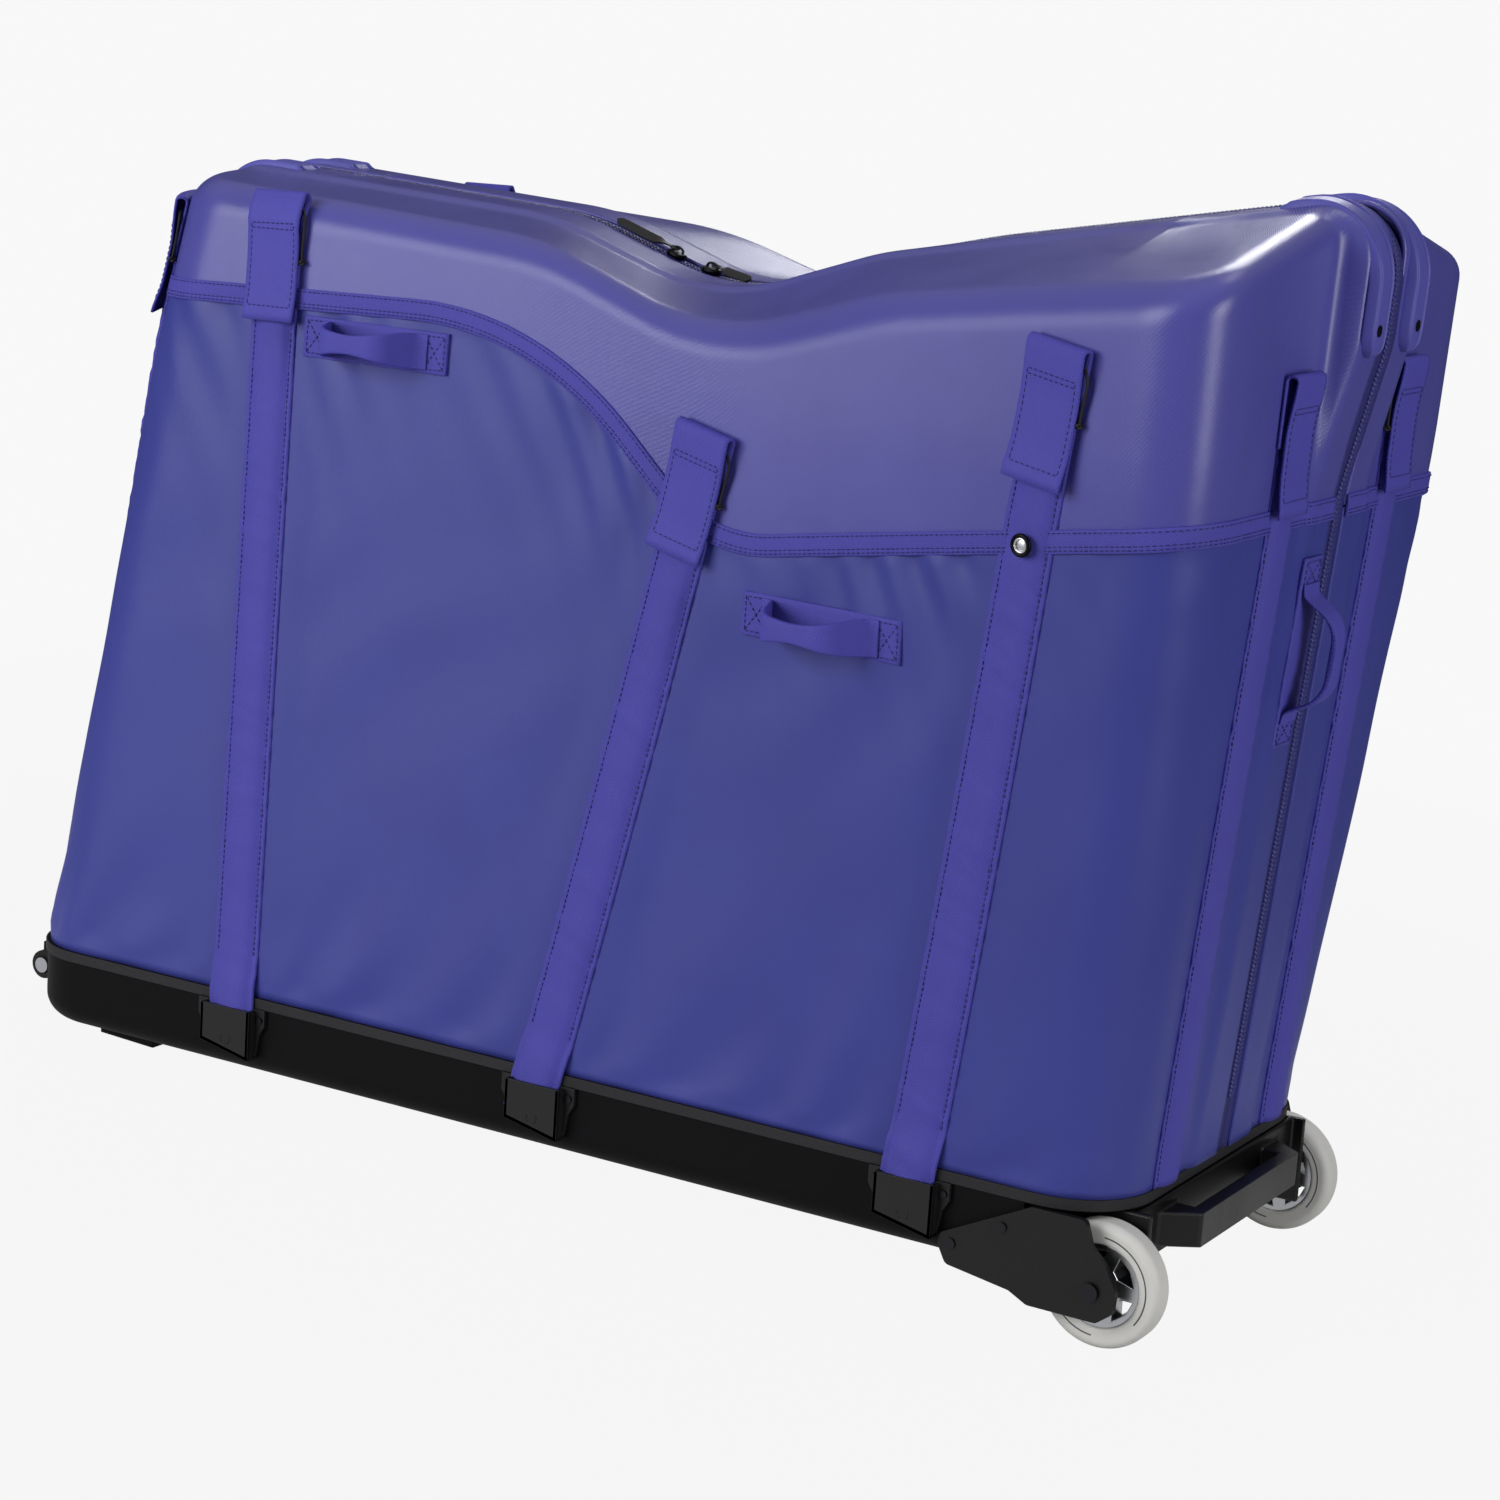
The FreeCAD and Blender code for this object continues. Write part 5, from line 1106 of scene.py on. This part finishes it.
class CASE_OT_stitches(bpy.types.Operator):
    """Sew every visible seam with beads of thread"""
    bl_idname = "case.stitches"
    bl_label = "Stitching"

    def execute(self, context):
        cloth, colours = context.scene.case_cloth, context.scene.case_colours
        pitch = cloth.stitch
        hem = hem_track()
        ends = (0.002, hem.long - 0.002)
        lines = [thread_line(hem, [(end, across) for end in ends], lambda a: 0.0024, pitch)
                 for across in HEM_SEAMS]
        for number, track in enumerate(near_stays()):
            low = SOCKET_REACH if number < len(SIDE_STAYS) else 0.004
            tip, half = track.long, cloth.cap_width / 2 - 0.004
            ends = (low, tip - 0.09)
            lines += [thread_line(track, [(end, across) for end in ends], lambda a: 0.0017, pitch)
                      for across in (-SLEEVE_SEAM, SLEEVE_SEAM)]

            def on_flap(along, tip=tip, number=number):
                return flap_height(cloth, along - tip, number) + 0.0002
            rows = [((tip - back, -half), (tip - back, half)) for back in CAP_SEAMS]
            ends = (tip - CAP_SEAMS[-1], tip - CAP_SEAMS[0])
            rows += [[(end, across) for end in ends] for across in (-half, half)]
            lines += [thread_line(track, row, on_flap, pitch) for row in rows]
        for word in ("front", "rear"):
            lines += box_stitches(patch_track(word), pitch)
        # The thread's dark colour is partly painted shade of the stitch holes
        finish = moulded_finish("thread", tuple(colours.thread),
                                rough=0.6, grain=1500.0, depth=0.0002)
        for (side, mirror), more in zip(SIDES, (box_stitches(patch_track("end"), pitch), [])):
            points, faces = thread_beads(lines + more, pitch * 0.72, cloth.thread)
            piece(side + "_stitching", points, faces, finish, ("base", side + "_half"), [],
                  "webbing", None, mirror)
        return {"FINISHED"}


def box_stitches(track, pitch):
    """A square crossed by its diagonals at each end of a handle patch."""
    lines, edge = [], 0.0135
    for low, high in ((0.003, 0.023), (track.long - 0.023, track.long - 0.003)):
        square = ((low, -edge), (high, -edge), (high, edge), (low, edge), (low, -edge))
        for corners in (square, (square[0], square[2]), (square[3], square[1])):
            lines.append(thread_line(track, corners, lambda a: 0.0027, pitch))
    return lines


class CASE_OT_zip(bpy.types.Operator):
    """Run the zip's tapes and coil over the spine"""
    bl_idname = "case.zip"
    bl_label = "Zip"

    def execute(self, context):
        colours = context.scene.case_colours
        total = SPINE_REACH[-1]
        along = np.linspace(0, total, 420)[:, None]
        side, rise = np.array(ZIP_TAPE).T[:, None]
        tape = webbing_finish("zip tape", tuple(colours.coil))
        pair("zip_band", tube(spine_lay(along, side, rise)), tape, "seam", ["zip_tape"], "zip_coil",
             tube_map(along, side))
        fine = np.linspace(ZIP_END, total - ZIP_END, 4200)[:, None]
        side, rise = np.array(ZIP_COIL).T[:, None]
        ripple = 0.5 + 0.5 * np.sin(fine * 2 * np.pi / COIL_PITCH + side * 700)
        # The coil is the tape's colour made lighter as painted highlight on the teeth
        coil = moulded_finish("zip coil", shade(tuple(colours.coil), 1.15),
                              rough=0.30, grain=1200.0, depth=0.0001)
        pair("zip_teeth", tube(spine_lay(fine, side, rise * (0.45 + 0.55 * ripple))), coil, "seam",
             ["zip_chain"], "zip_coil")
        return {"FINISHED"}


def slider_place(word):
    """Pin of a slider's pull, with the ways along the zip and off it there."""
    pin = case_point(JOINTS[word + "_pull_flip"]["pos_m"])
    at = spine_length(pin[0], pin[2])
    along = unit(spine_lay(at + 0.004, 0.0, 0.0) - spine_lay(at - 0.004, 0.0, 0.0))
    return pin, along, np.cross(along, (0.0, 1.0, 0.0))


def off_pin(place, spots):
    """Points at along, side and height distances from a slider's pin."""
    pin, along, off = place
    spots = np.asarray(spots)
    return pin + spots[..., :1] * along + spots[..., 1:2] * CASE_ACROSS + spots[..., 2:] * off


def slider_cast(place):
    """A slider: an oval body that narrows to both ends, under a bridge of round bar."""
    run = np.linspace(-0.0075, 0.0075, 11)
    wide = 0.0128 * np.sqrt(1 - (run / 0.0095) ** 2)
    ring = oval(4.0)
    spots = np.stack(np.broadcast_arrays(run[:, None], ring[None, :, 0] * wide[:, None],
                                         ring[None, :, 1] * 0.0050 - 0.0048), -1)
    arch = bent(((-0.0050, 0, -0.0030), (-0.0042, 0, 0.0006), (0, 0, 0.0019), (0.0042, 0, 0.0006),
                 (0.0050, 0, -0.0030)), 24)
    return joined((tube(off_pin(place, spots)), rope(off_pin(place, arch), 0.0011)))


def pull_tag(place, way, long):
    """A pull: a wire link at the pin, and a flat bar that widens past its neck and leans over."""
    turn = np.linspace(0, 2 * np.pi, 25)
    link = np.stack((way * (0.0042 + 0.0042 * np.cos(turn)), 0.0036 * np.sin(turn), 0.0 * turn), -1)
    reach = np.linspace(0, 1, 30)
    neck = 0.0048 + 0.0046 * smooth((reach - 0.10) / 0.16)
    neck = neck * np.sqrt(np.clip(1 - ((reach - 0.86) / 0.14).clip(0) ** 2, 0.03, 1))
    thick = 0.0014 + 0.0010 * np.exp(-((reach - 0.20) / 0.05) ** 2) + 0.0008 * (reach > 0.9)
    flat = oval(6.0)
    side, face = flat[None, :, 0] * neck[:, None], flat[None, :, 1] * thick[:, None]
    roll = math.radians(32) * smooth((reach - 0.06) / 0.2)[:, None]
    rest = -0.0040 * smooth(reach / 0.35)[:, None]
    bar = np.stack(np.broadcast_arrays(way * (0.0068 + reach[:, None] * (long - 0.0068)),
                                       rest + side * np.cos(roll) - face * np.sin(roll),
                                       side * np.sin(roll) + face * np.cos(roll)), -1)
    return joined((rope(off_pin(place, link), 0.0009), tube(off_pin(place, bar))))


class CASE_OT_sliders(bpy.types.Operator):
    """Cast the zip's sliders with their bridges, and the long and the short pull"""
    bl_idname = "case.sliders"
    bl_label = "Zip sliders"

    def execute(self, context):
        black = metal_finish("slider black", linear(30, 30, 33), 0.32)
        tag = moulded_finish("pull black", linear(20, 20, 22),
                             rough=0.44, grain=900.0, depth=0.00012)
        for word, way, long in (("front", -1, 0.062), ("rear", 1, 0.040)):
            place = slider_place(word)
            piece(word + "_slider_cast", *slider_cast(place), black, word + "_slider",
                  [word + "_zip_slider"], "black_metal")
            piece(word + "_pull_tag", *pull_tag(place, way, long), tag, word + "_pull",
                  [word + "_zip_pull"], "pull_black")
        return {"FINISHED"}


class CASE_OT_eyelets(bpy.types.Operator):
    """Press a bright lined eyelet into the last sleeve of each side"""
    bl_idname = "case.eyelets"
    bl_label = "Eyelets"

    def execute(self, context):
        at = case_point(np.mean(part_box("near_eyelet"), axis=0))
        out = outward(at)
        along = unit(np.cross(out, (0.0, 0.0, 1.0)))
        turn = np.linspace(0, 2 * np.pi, 33)
        circle = np.cos(turn)[:, None] * along + np.sin(turn)[:, None] * np.cross(out, along)
        flange = rope(at + circle * 0.0073, 0.0017, 10)
        lining = rope(at + circle * 0.0050 + out * 0.0003, 0.0011, 8)
        ends = np.array(((0.0052, -0.0022), (0.0050, -0.0006), (0.0034, 0.0000), (0.0010, 0.0002)))
        stopper = tube(at + circle[None, :-1] * ends[:, None, :1] + out * ends[:, None, 1:])
        dark = metal_finish("eyelet black", linear(28, 28, 31), 0.34)
        bright = metal_finish("eyelet bright", linear(222, 223, 226), 0.30)
        pair("eyelet_ring", flange, dark, "half", ["eyelet"], "eyelet_metal")
        pair("eyelet_lining", joined((lining, stopper)), bright, "half", [], "eyelet_metal")
        return {"FINISHED"}


class CASE_OT_guards(bpy.types.Operator):
    """Mould the corner guards, ribbed along their edges and rounded at the tongue"""
    bl_idname = "case.guards"
    bl_label = "Corner guards"

    def execute(self, context):
        colours = context.scene.case_colours
        spans = ((spine_length(-0.975, 0.708), spine_length(-0.890, 0.760), 1),
                 (spine_length(0.010, 0.806), spine_length(0.083, 0.708), -1))
        side = np.linspace(-1, 1, 61)[None]
        rim = np.abs(side)
        groove = 0.0036 * np.exp(-((rim - 0.60) / 0.080) ** 2)
        rib = 0.0020 * np.exp(-((rim - 0.83) / 0.10) ** 2)
        crown = 0.0070 * (1 - rim ** 8) - groove + rib
        share = np.linspace(0, 1, 64)[:, None]
        parts = []
        for low, high, way in spans:
            toe = share if way > 0 else 1 - share
            width = np.sqrt(1 - (1 - np.minimum(toe / 0.13, 1)) ** 2 * 0.98)
            head = 1 - 0.5 * smooth((toe - 0.94) / 0.06)
            rise = crown * np.minimum(1, 0.25 + width) * head + 0.0004
            along, y = low + (high - low) * share, -GUARD_MIDDLE + side * GUARD_HALF * width
            under = spine_lay(along, y[:, (60, 30, 0)], -0.0012)
            parts.append(tube(np.concatenate((spine_lay(along, y, rise), under), 1)))
        finish = moulded_finish("guard", tuple(colours.shell),
                                rough=0.42, grain=700.0, depth=0.00008)
        pair("guards", joined(parts), finish, "half", ["corner_guards"], "guard_plastic")
        return {"FINISHED"}


def slab(outline, low, high):
    """A flat plate on the case's side: X and Z pairs carried from one Y to another."""
    return tube(np.stack([np.insert(outline, 1, y, axis=1) for y in (low, high)]))


class CASE_OT_sockets(bpy.types.Operator):
    """Mould the strap sockets: a pocket with a slanted foot on a plate with two ears"""
    bl_idname = "case.sockets"
    bl_label = "Strap sockets"

    def execute(self, context):
        face, front, wall, ear = -0.1932, -0.2060, 0.0030, 0.0036
        floor, slant, top = 0.0215, 0.20, 0.060
        plate = np.array(((-0.0355, 0.061), (0.0355, 0.061), (0.0355, 0.047), (0.0300, 0.038),
                          (0.0268, 0.020), (-0.0268, 0.028), (-0.0300, 0.038), (-0.0355, 0.047)))
        sole = np.array(((-0.026, 0.0301), (0.026, 0.0197), (0.026, 0.0163), (-0.026, 0.0267)))
        sides = ((-0.026, 0.026, front, front + wall), (-0.026, -0.023, front, face),
                 (0.023, 0.026, front, face))
        turn = np.linspace(2.6, 7.0, 22)
        parts = []
        for foot, _, _ in SIDE_STAYS:
            parts.append(slab(plate + (foot, 0), face, face - ear))
            for low, high, near, far in sides:
                ends = np.array((low, high, high, low))
                heights = np.where((0, 0, 1, 1), floor - ends * slant, top)
                parts.append(slab(np.stack((ends + foot, heights), -1), far, near))
            parts.append(slab(sole + (foot, 0), face, front))
            mark = np.stack((foot + 0.001 + 0.0048 * np.cos(turn), 0 * turn + front - 0.0001,
                             0.0315 + 0.0048 * np.sin(turn)), -1)
            parts.append(rope(mark, 0.0005, 6))
        black = shade(tuple(context.scene.case_colours.plastic), 1.7)
        finish = moulded_finish("socket plastic", black, rough=0.42, grain=900.0, depth=0.0001)
        made = pair("sockets", joined(parts), finish, "base", ["strap_sockets"], "tray_black",
                    flat=True)
        for thing in made:
            bevel = thing.modifiers.new("edge", "BEVEL")
            bevel.width, bevel.segments, bevel.limit_method = 0.0009, 2, "ANGLE"
        return {"FINISHED"}


class CASE_OT_hardware(bpy.types.Operator):
    """Finish the rigid pieces that keep their built shape, with softened edges"""
    bl_idname = "case.hardware"
    bl_label = "Rigid pieces"

    def execute(self, context):
        colours = context.scene.case_colours
        plastic, metal = tuple(colours.plastic), tuple(colours.metal)
        tray = moulded_finish("tray plastic", plastic,
                              rough=0.55, grain=620.0, depth=0.00016, gloss=0.08)
        fine = moulded_finish("fine plastic", shade(plastic, 0.9),
                              rough=0.36, grain=1100.0, depth=0.00008)
        rubber = moulded_finish("rubber", shade(plastic, 0.7),
                                rough=0.62, grain=420.0, depth=0.0002)
        board = moulded_finish("board", linear(46, 47, 50), rough=0.62, grain=260.0, depth=0.0003)
        bright = metal_finish("bright metal", metal, 0.24)
        dark = metal_finish("dark metal", linear(52, 52, 56), 0.34)
        pale = metal_finish("pale metal", linear(188, 190, 196), 0.38)
        binding = moulded_finish("binding", linear(30, 30, 33),
                                 rough=0.62, grain=1500.0, depth=0.0003)
        looks = [(tray, 0.0012, "base_tray front_skid"), (tray, 0.0010, "rub_saddles"),
                 (binding, 0.0006, "rim_binding"), (board, 0.0010, "floor_board"),
                 (fine, 0.0022, "rear_carrier near_wheel_cheek far_wheel_cheek"),
                 (rubber, 0.0016, "rub_tube frame_rest"),
                 (bright, 0.0006, "rub_core near_hub far_hub"),
                 (bright, 0.0004, "axle_collars"), (dark, 0.0005, "base_rivets"),
                 (dark, 0.0006, "axle_bolts thru_axle"), (pale, 0.0008, "stand_rail"),
                 (dark, 0.0004, "near_guard_screws far_guard_screws"), (pale, 0.0012, "fork_block"),
                 (pale, 0.0003, "near_bearings far_bearings")]
        for side, _ in SIDES:
            centre = JOINTS[side + "_wheel_spin"]["pos_m"]
            tyre = tyre_finish(side + " tyre", tuple(colours.tyre), centre)
            looks.append((tyre, 0.0025, side + "_tyre"))
        for finish, edge, names in looks:
            for name in names.split():
                thing = frame["nodes"][name]
                thing.data.materials.clear()
                thing.data.materials.append(finish)
                soften(thing, edge)
        return {"FINISHED"}


def soften(thing, edge):
    """Join the built mesh's loose faces, round its edges and shade by face size."""
    weld = thing.modifiers.new("join", "WELD")
    weld.merge_threshold = 0.00001
    bevel = thing.modifiers.new("edge", "BEVEL")
    bevel.width, bevel.segments, bevel.limit_method = edge, 3, "ANGLE"
    bevel.angle_limit, bevel.harden_normals = math.radians(32), False
    normal = thing.modifiers.new("shading", "WEIGHTED_NORMAL")
    normal.keep_sharp = True


class CASE_OT_stage(bpy.types.Operator):
    """Set the floor, lights, background and camera"""
    bl_idname = "case.stage"
    bl_label = "Studio"

    def execute(self, context):
        scene, studio = context.scene, context.scene.case_studio
        set_floor(scene)
        lamps = (("key", studio.key_power, (-1.7, -3.1, 1.5), (-0.1, 0, 0.45), 2.4, 2.2),
                 ("top", studio.top_power, (0.75, 0.75, 3.0), (0.4, 0, 0.6), 0.9, 0.5),
                 ("back", studio.back_power, (-0.50, 2.4, 2.32), (0.0, 0, 0.7), 0.8, 0.45),
                 ("end", studio.end_power, (3.3, -1.0, 1.0), (0.4, 0, 0.4), 1.0, 1.6))
        for name, power, at, to, wide, tall in lamps:
            lamp = bpy.data.lights.new(name, "AREA")
            lamp.shape, lamp.size, lamp.size_y, lamp.energy = "RECTANGLE", wide, tall, power
            back = unit(np.array(at, float) - to)
            right = unit(np.cross((0, 0, 1.0), back))
            stand(scene, name, lamp, (right, np.cross(back, right), back), at)
        set_world(scene)
        scene.view_settings.view_transform = "Standard"
        set_camera(scene, studio)
        return {"FINISHED"}


def stand(scene, name, data, axes, at):
    """A lamp or camera in the scene, placed by its three axes and its origin."""
    thing = bpy.data.objects.new(name, data)
    top = np.column_stack((*axes, at))
    thing.matrix_world = Matrix(np.vstack((top, (0, 0, 0, 1))).tolist())
    scene.collection.objects.link(thing)
    return thing


def set_floor(scene):
    """A wide paper floor: white to the camera, darker to light far off, with the case's shadow."""
    reach = np.linspace(-30, 30, 41)
    points, faces = grid_shape(np.stack(np.broadcast_arrays(reach[None], reach[:, None], 0.0), -1))
    mesh = bpy.data.meshes.new("floor")
    mesh.from_pydata(points.tolist(), [], faces)
    mesh.polygons.foreach_set("use_smooth", np.full(len(mesh.polygons), True))
    floor = bpy.data.objects.new("floor", mesh)
    scene.collection.objects.link(floor)
    finish = Finish("paper", roughness=0.9, specular_ior_level=0.1)
    place = finish.place(uv=False)[0]
    away = finish.node("ShaderNodeVectorMath", {"operation": "LENGTH"}, {0: place}, 1)
    dim = finish.ramp(away, 0.9, 2.4, 0.0, 0.9) + 0.08 * finish.noise(place, 300.0)
    finish.feed(base_color=finish.mix(dim, (0.44, 0.44, 0.44, 1.0), (0.12, 0.12, 0.12, 1.0)))
    glow = finish.node("ShaderNodeEmission", inputs={"Color": PAPER_WHITE, "Strength": 1.0})
    seen, glossy, through = finish.light_paths()
    shown = seen * finish.ramp(away, 0.7, 2.2, 0.965, 1.0)
    shown = shown + (glossy + through) * finish.ramp(away, 0.5, 1.4, 0.6, 0.0)
    paper = Wire(finish.tree, finish.skin.outputs[0])
    both = finish.node("ShaderNodeMixShader", inputs={0: shown, 1: paper, 2: glow})
    plug(finish.tree, finish.tree.nodes["Material Output"].inputs["Surface"], both)
    mesh.materials.append(finish.material)


def set_world(scene):
    """White to the camera; to reflections and as light it is dim, and brighter overhead."""
    scene.world = bpy.data.worlds.new("studio")
    scene.world.use_nodes = True
    sky = Nodes(scene.world.node_tree)
    back = sky.tree.nodes["Background"]
    seen, glossy, through = sky.light_paths()
    height = sky.split(sky.node("ShaderNodeTexCoord"))[2]
    above = (height * 1.6 - 0.5).math("MAXIMUM", 0.0)
    ambient = 0.04 + 0.28 * above
    strength = ambient + (1 - ambient) * seen + (glossy + through) * above * 0.5
    plug(sky.tree, back.inputs["Color"], PAPER_WHITE)
    plug(sky.tree, back.inputs["Strength"], strength)


def set_camera(scene, studio):
    """Camera fitted to the photograph: turn, climb and roll about the case, which is off centre."""
    turn, climb, roll = np.radians((29.80, 12.29, 3.88))
    far, aside, below = 2.8630, 0.35505, -0.38204
    back = np.array((math.sin(turn) * math.cos(climb), -math.cos(turn) * math.cos(climb),
                     math.sin(climb)))
    level_right = np.array((math.cos(turn), math.sin(turn), 0.0))
    level_up = np.cross(back, level_right)
    right = level_right * math.cos(roll) + level_up * math.sin(roll)
    up = level_up * math.cos(roll) - level_right * math.sin(roll)
    axes = [row_frame(axis) - CASE_ORIGIN for axis in (right, up, back)]
    lens = bpy.data.cameras.new("photo")
    lens.lens, lens.sensor_width, lens.sensor_fit = studio.lens, 36.0, "HORIZONTAL"
    lens.clip_end = 60.0
    at = row_frame(back * far - right * aside - up * below)
    scene.camera = stand(scene, "photo", lens, axes, at)


class CASE_PT_tools(bpy.types.Panel):
    """Sidebar list of the steps that dress the case"""
    bl_idname = "CASE_PT_tools"
    bl_label = "Travel case"
    bl_space_type = "VIEW_3D"
    bl_region_type = "UI"
    bl_category = "Travel case"

    def draw(self, context):
        for step in STEPS:
            self.layout.operator(step.bl_idname)


STEPS = (CASE_OT_walls, CASE_OT_shells, CASE_OT_hem, CASE_OT_sleeves, CASE_OT_caps, CASE_OT_cords,
         CASE_OT_handles, CASE_OT_stitches, CASE_OT_zip, CASE_OT_sliders, CASE_OT_eyelets,
         CASE_OT_guards, CASE_OT_sockets, CASE_OT_hardware, CASE_OT_stage)
GROUPS = {"case_cloth": CaseCloth, "case_colours": CaseColours, "case_studio": StudioLook}


def register():
    for group in list(GROUPS.values()) + list(STEPS) + [CASE_PT_tools]:
        bpy.utils.register_class(group)
    for word, group in GROUPS.items():
        setattr(bpy.types.Scene, word, PointerProperty(type=group))


def unregister():
    for word in GROUPS:
        delattr(bpy.types.Scene, word)
    for group in [CASE_PT_tools] + list(STEPS) + list(GROUPS.values()):
        bpy.utils.unregister_class(group)


def main():
    register()
    for step in STEPS:
        group, word = step.bl_idname.split(".")
        getattr(getattr(bpy.ops, group), word)()


if __name__ == "__main__":
    main()
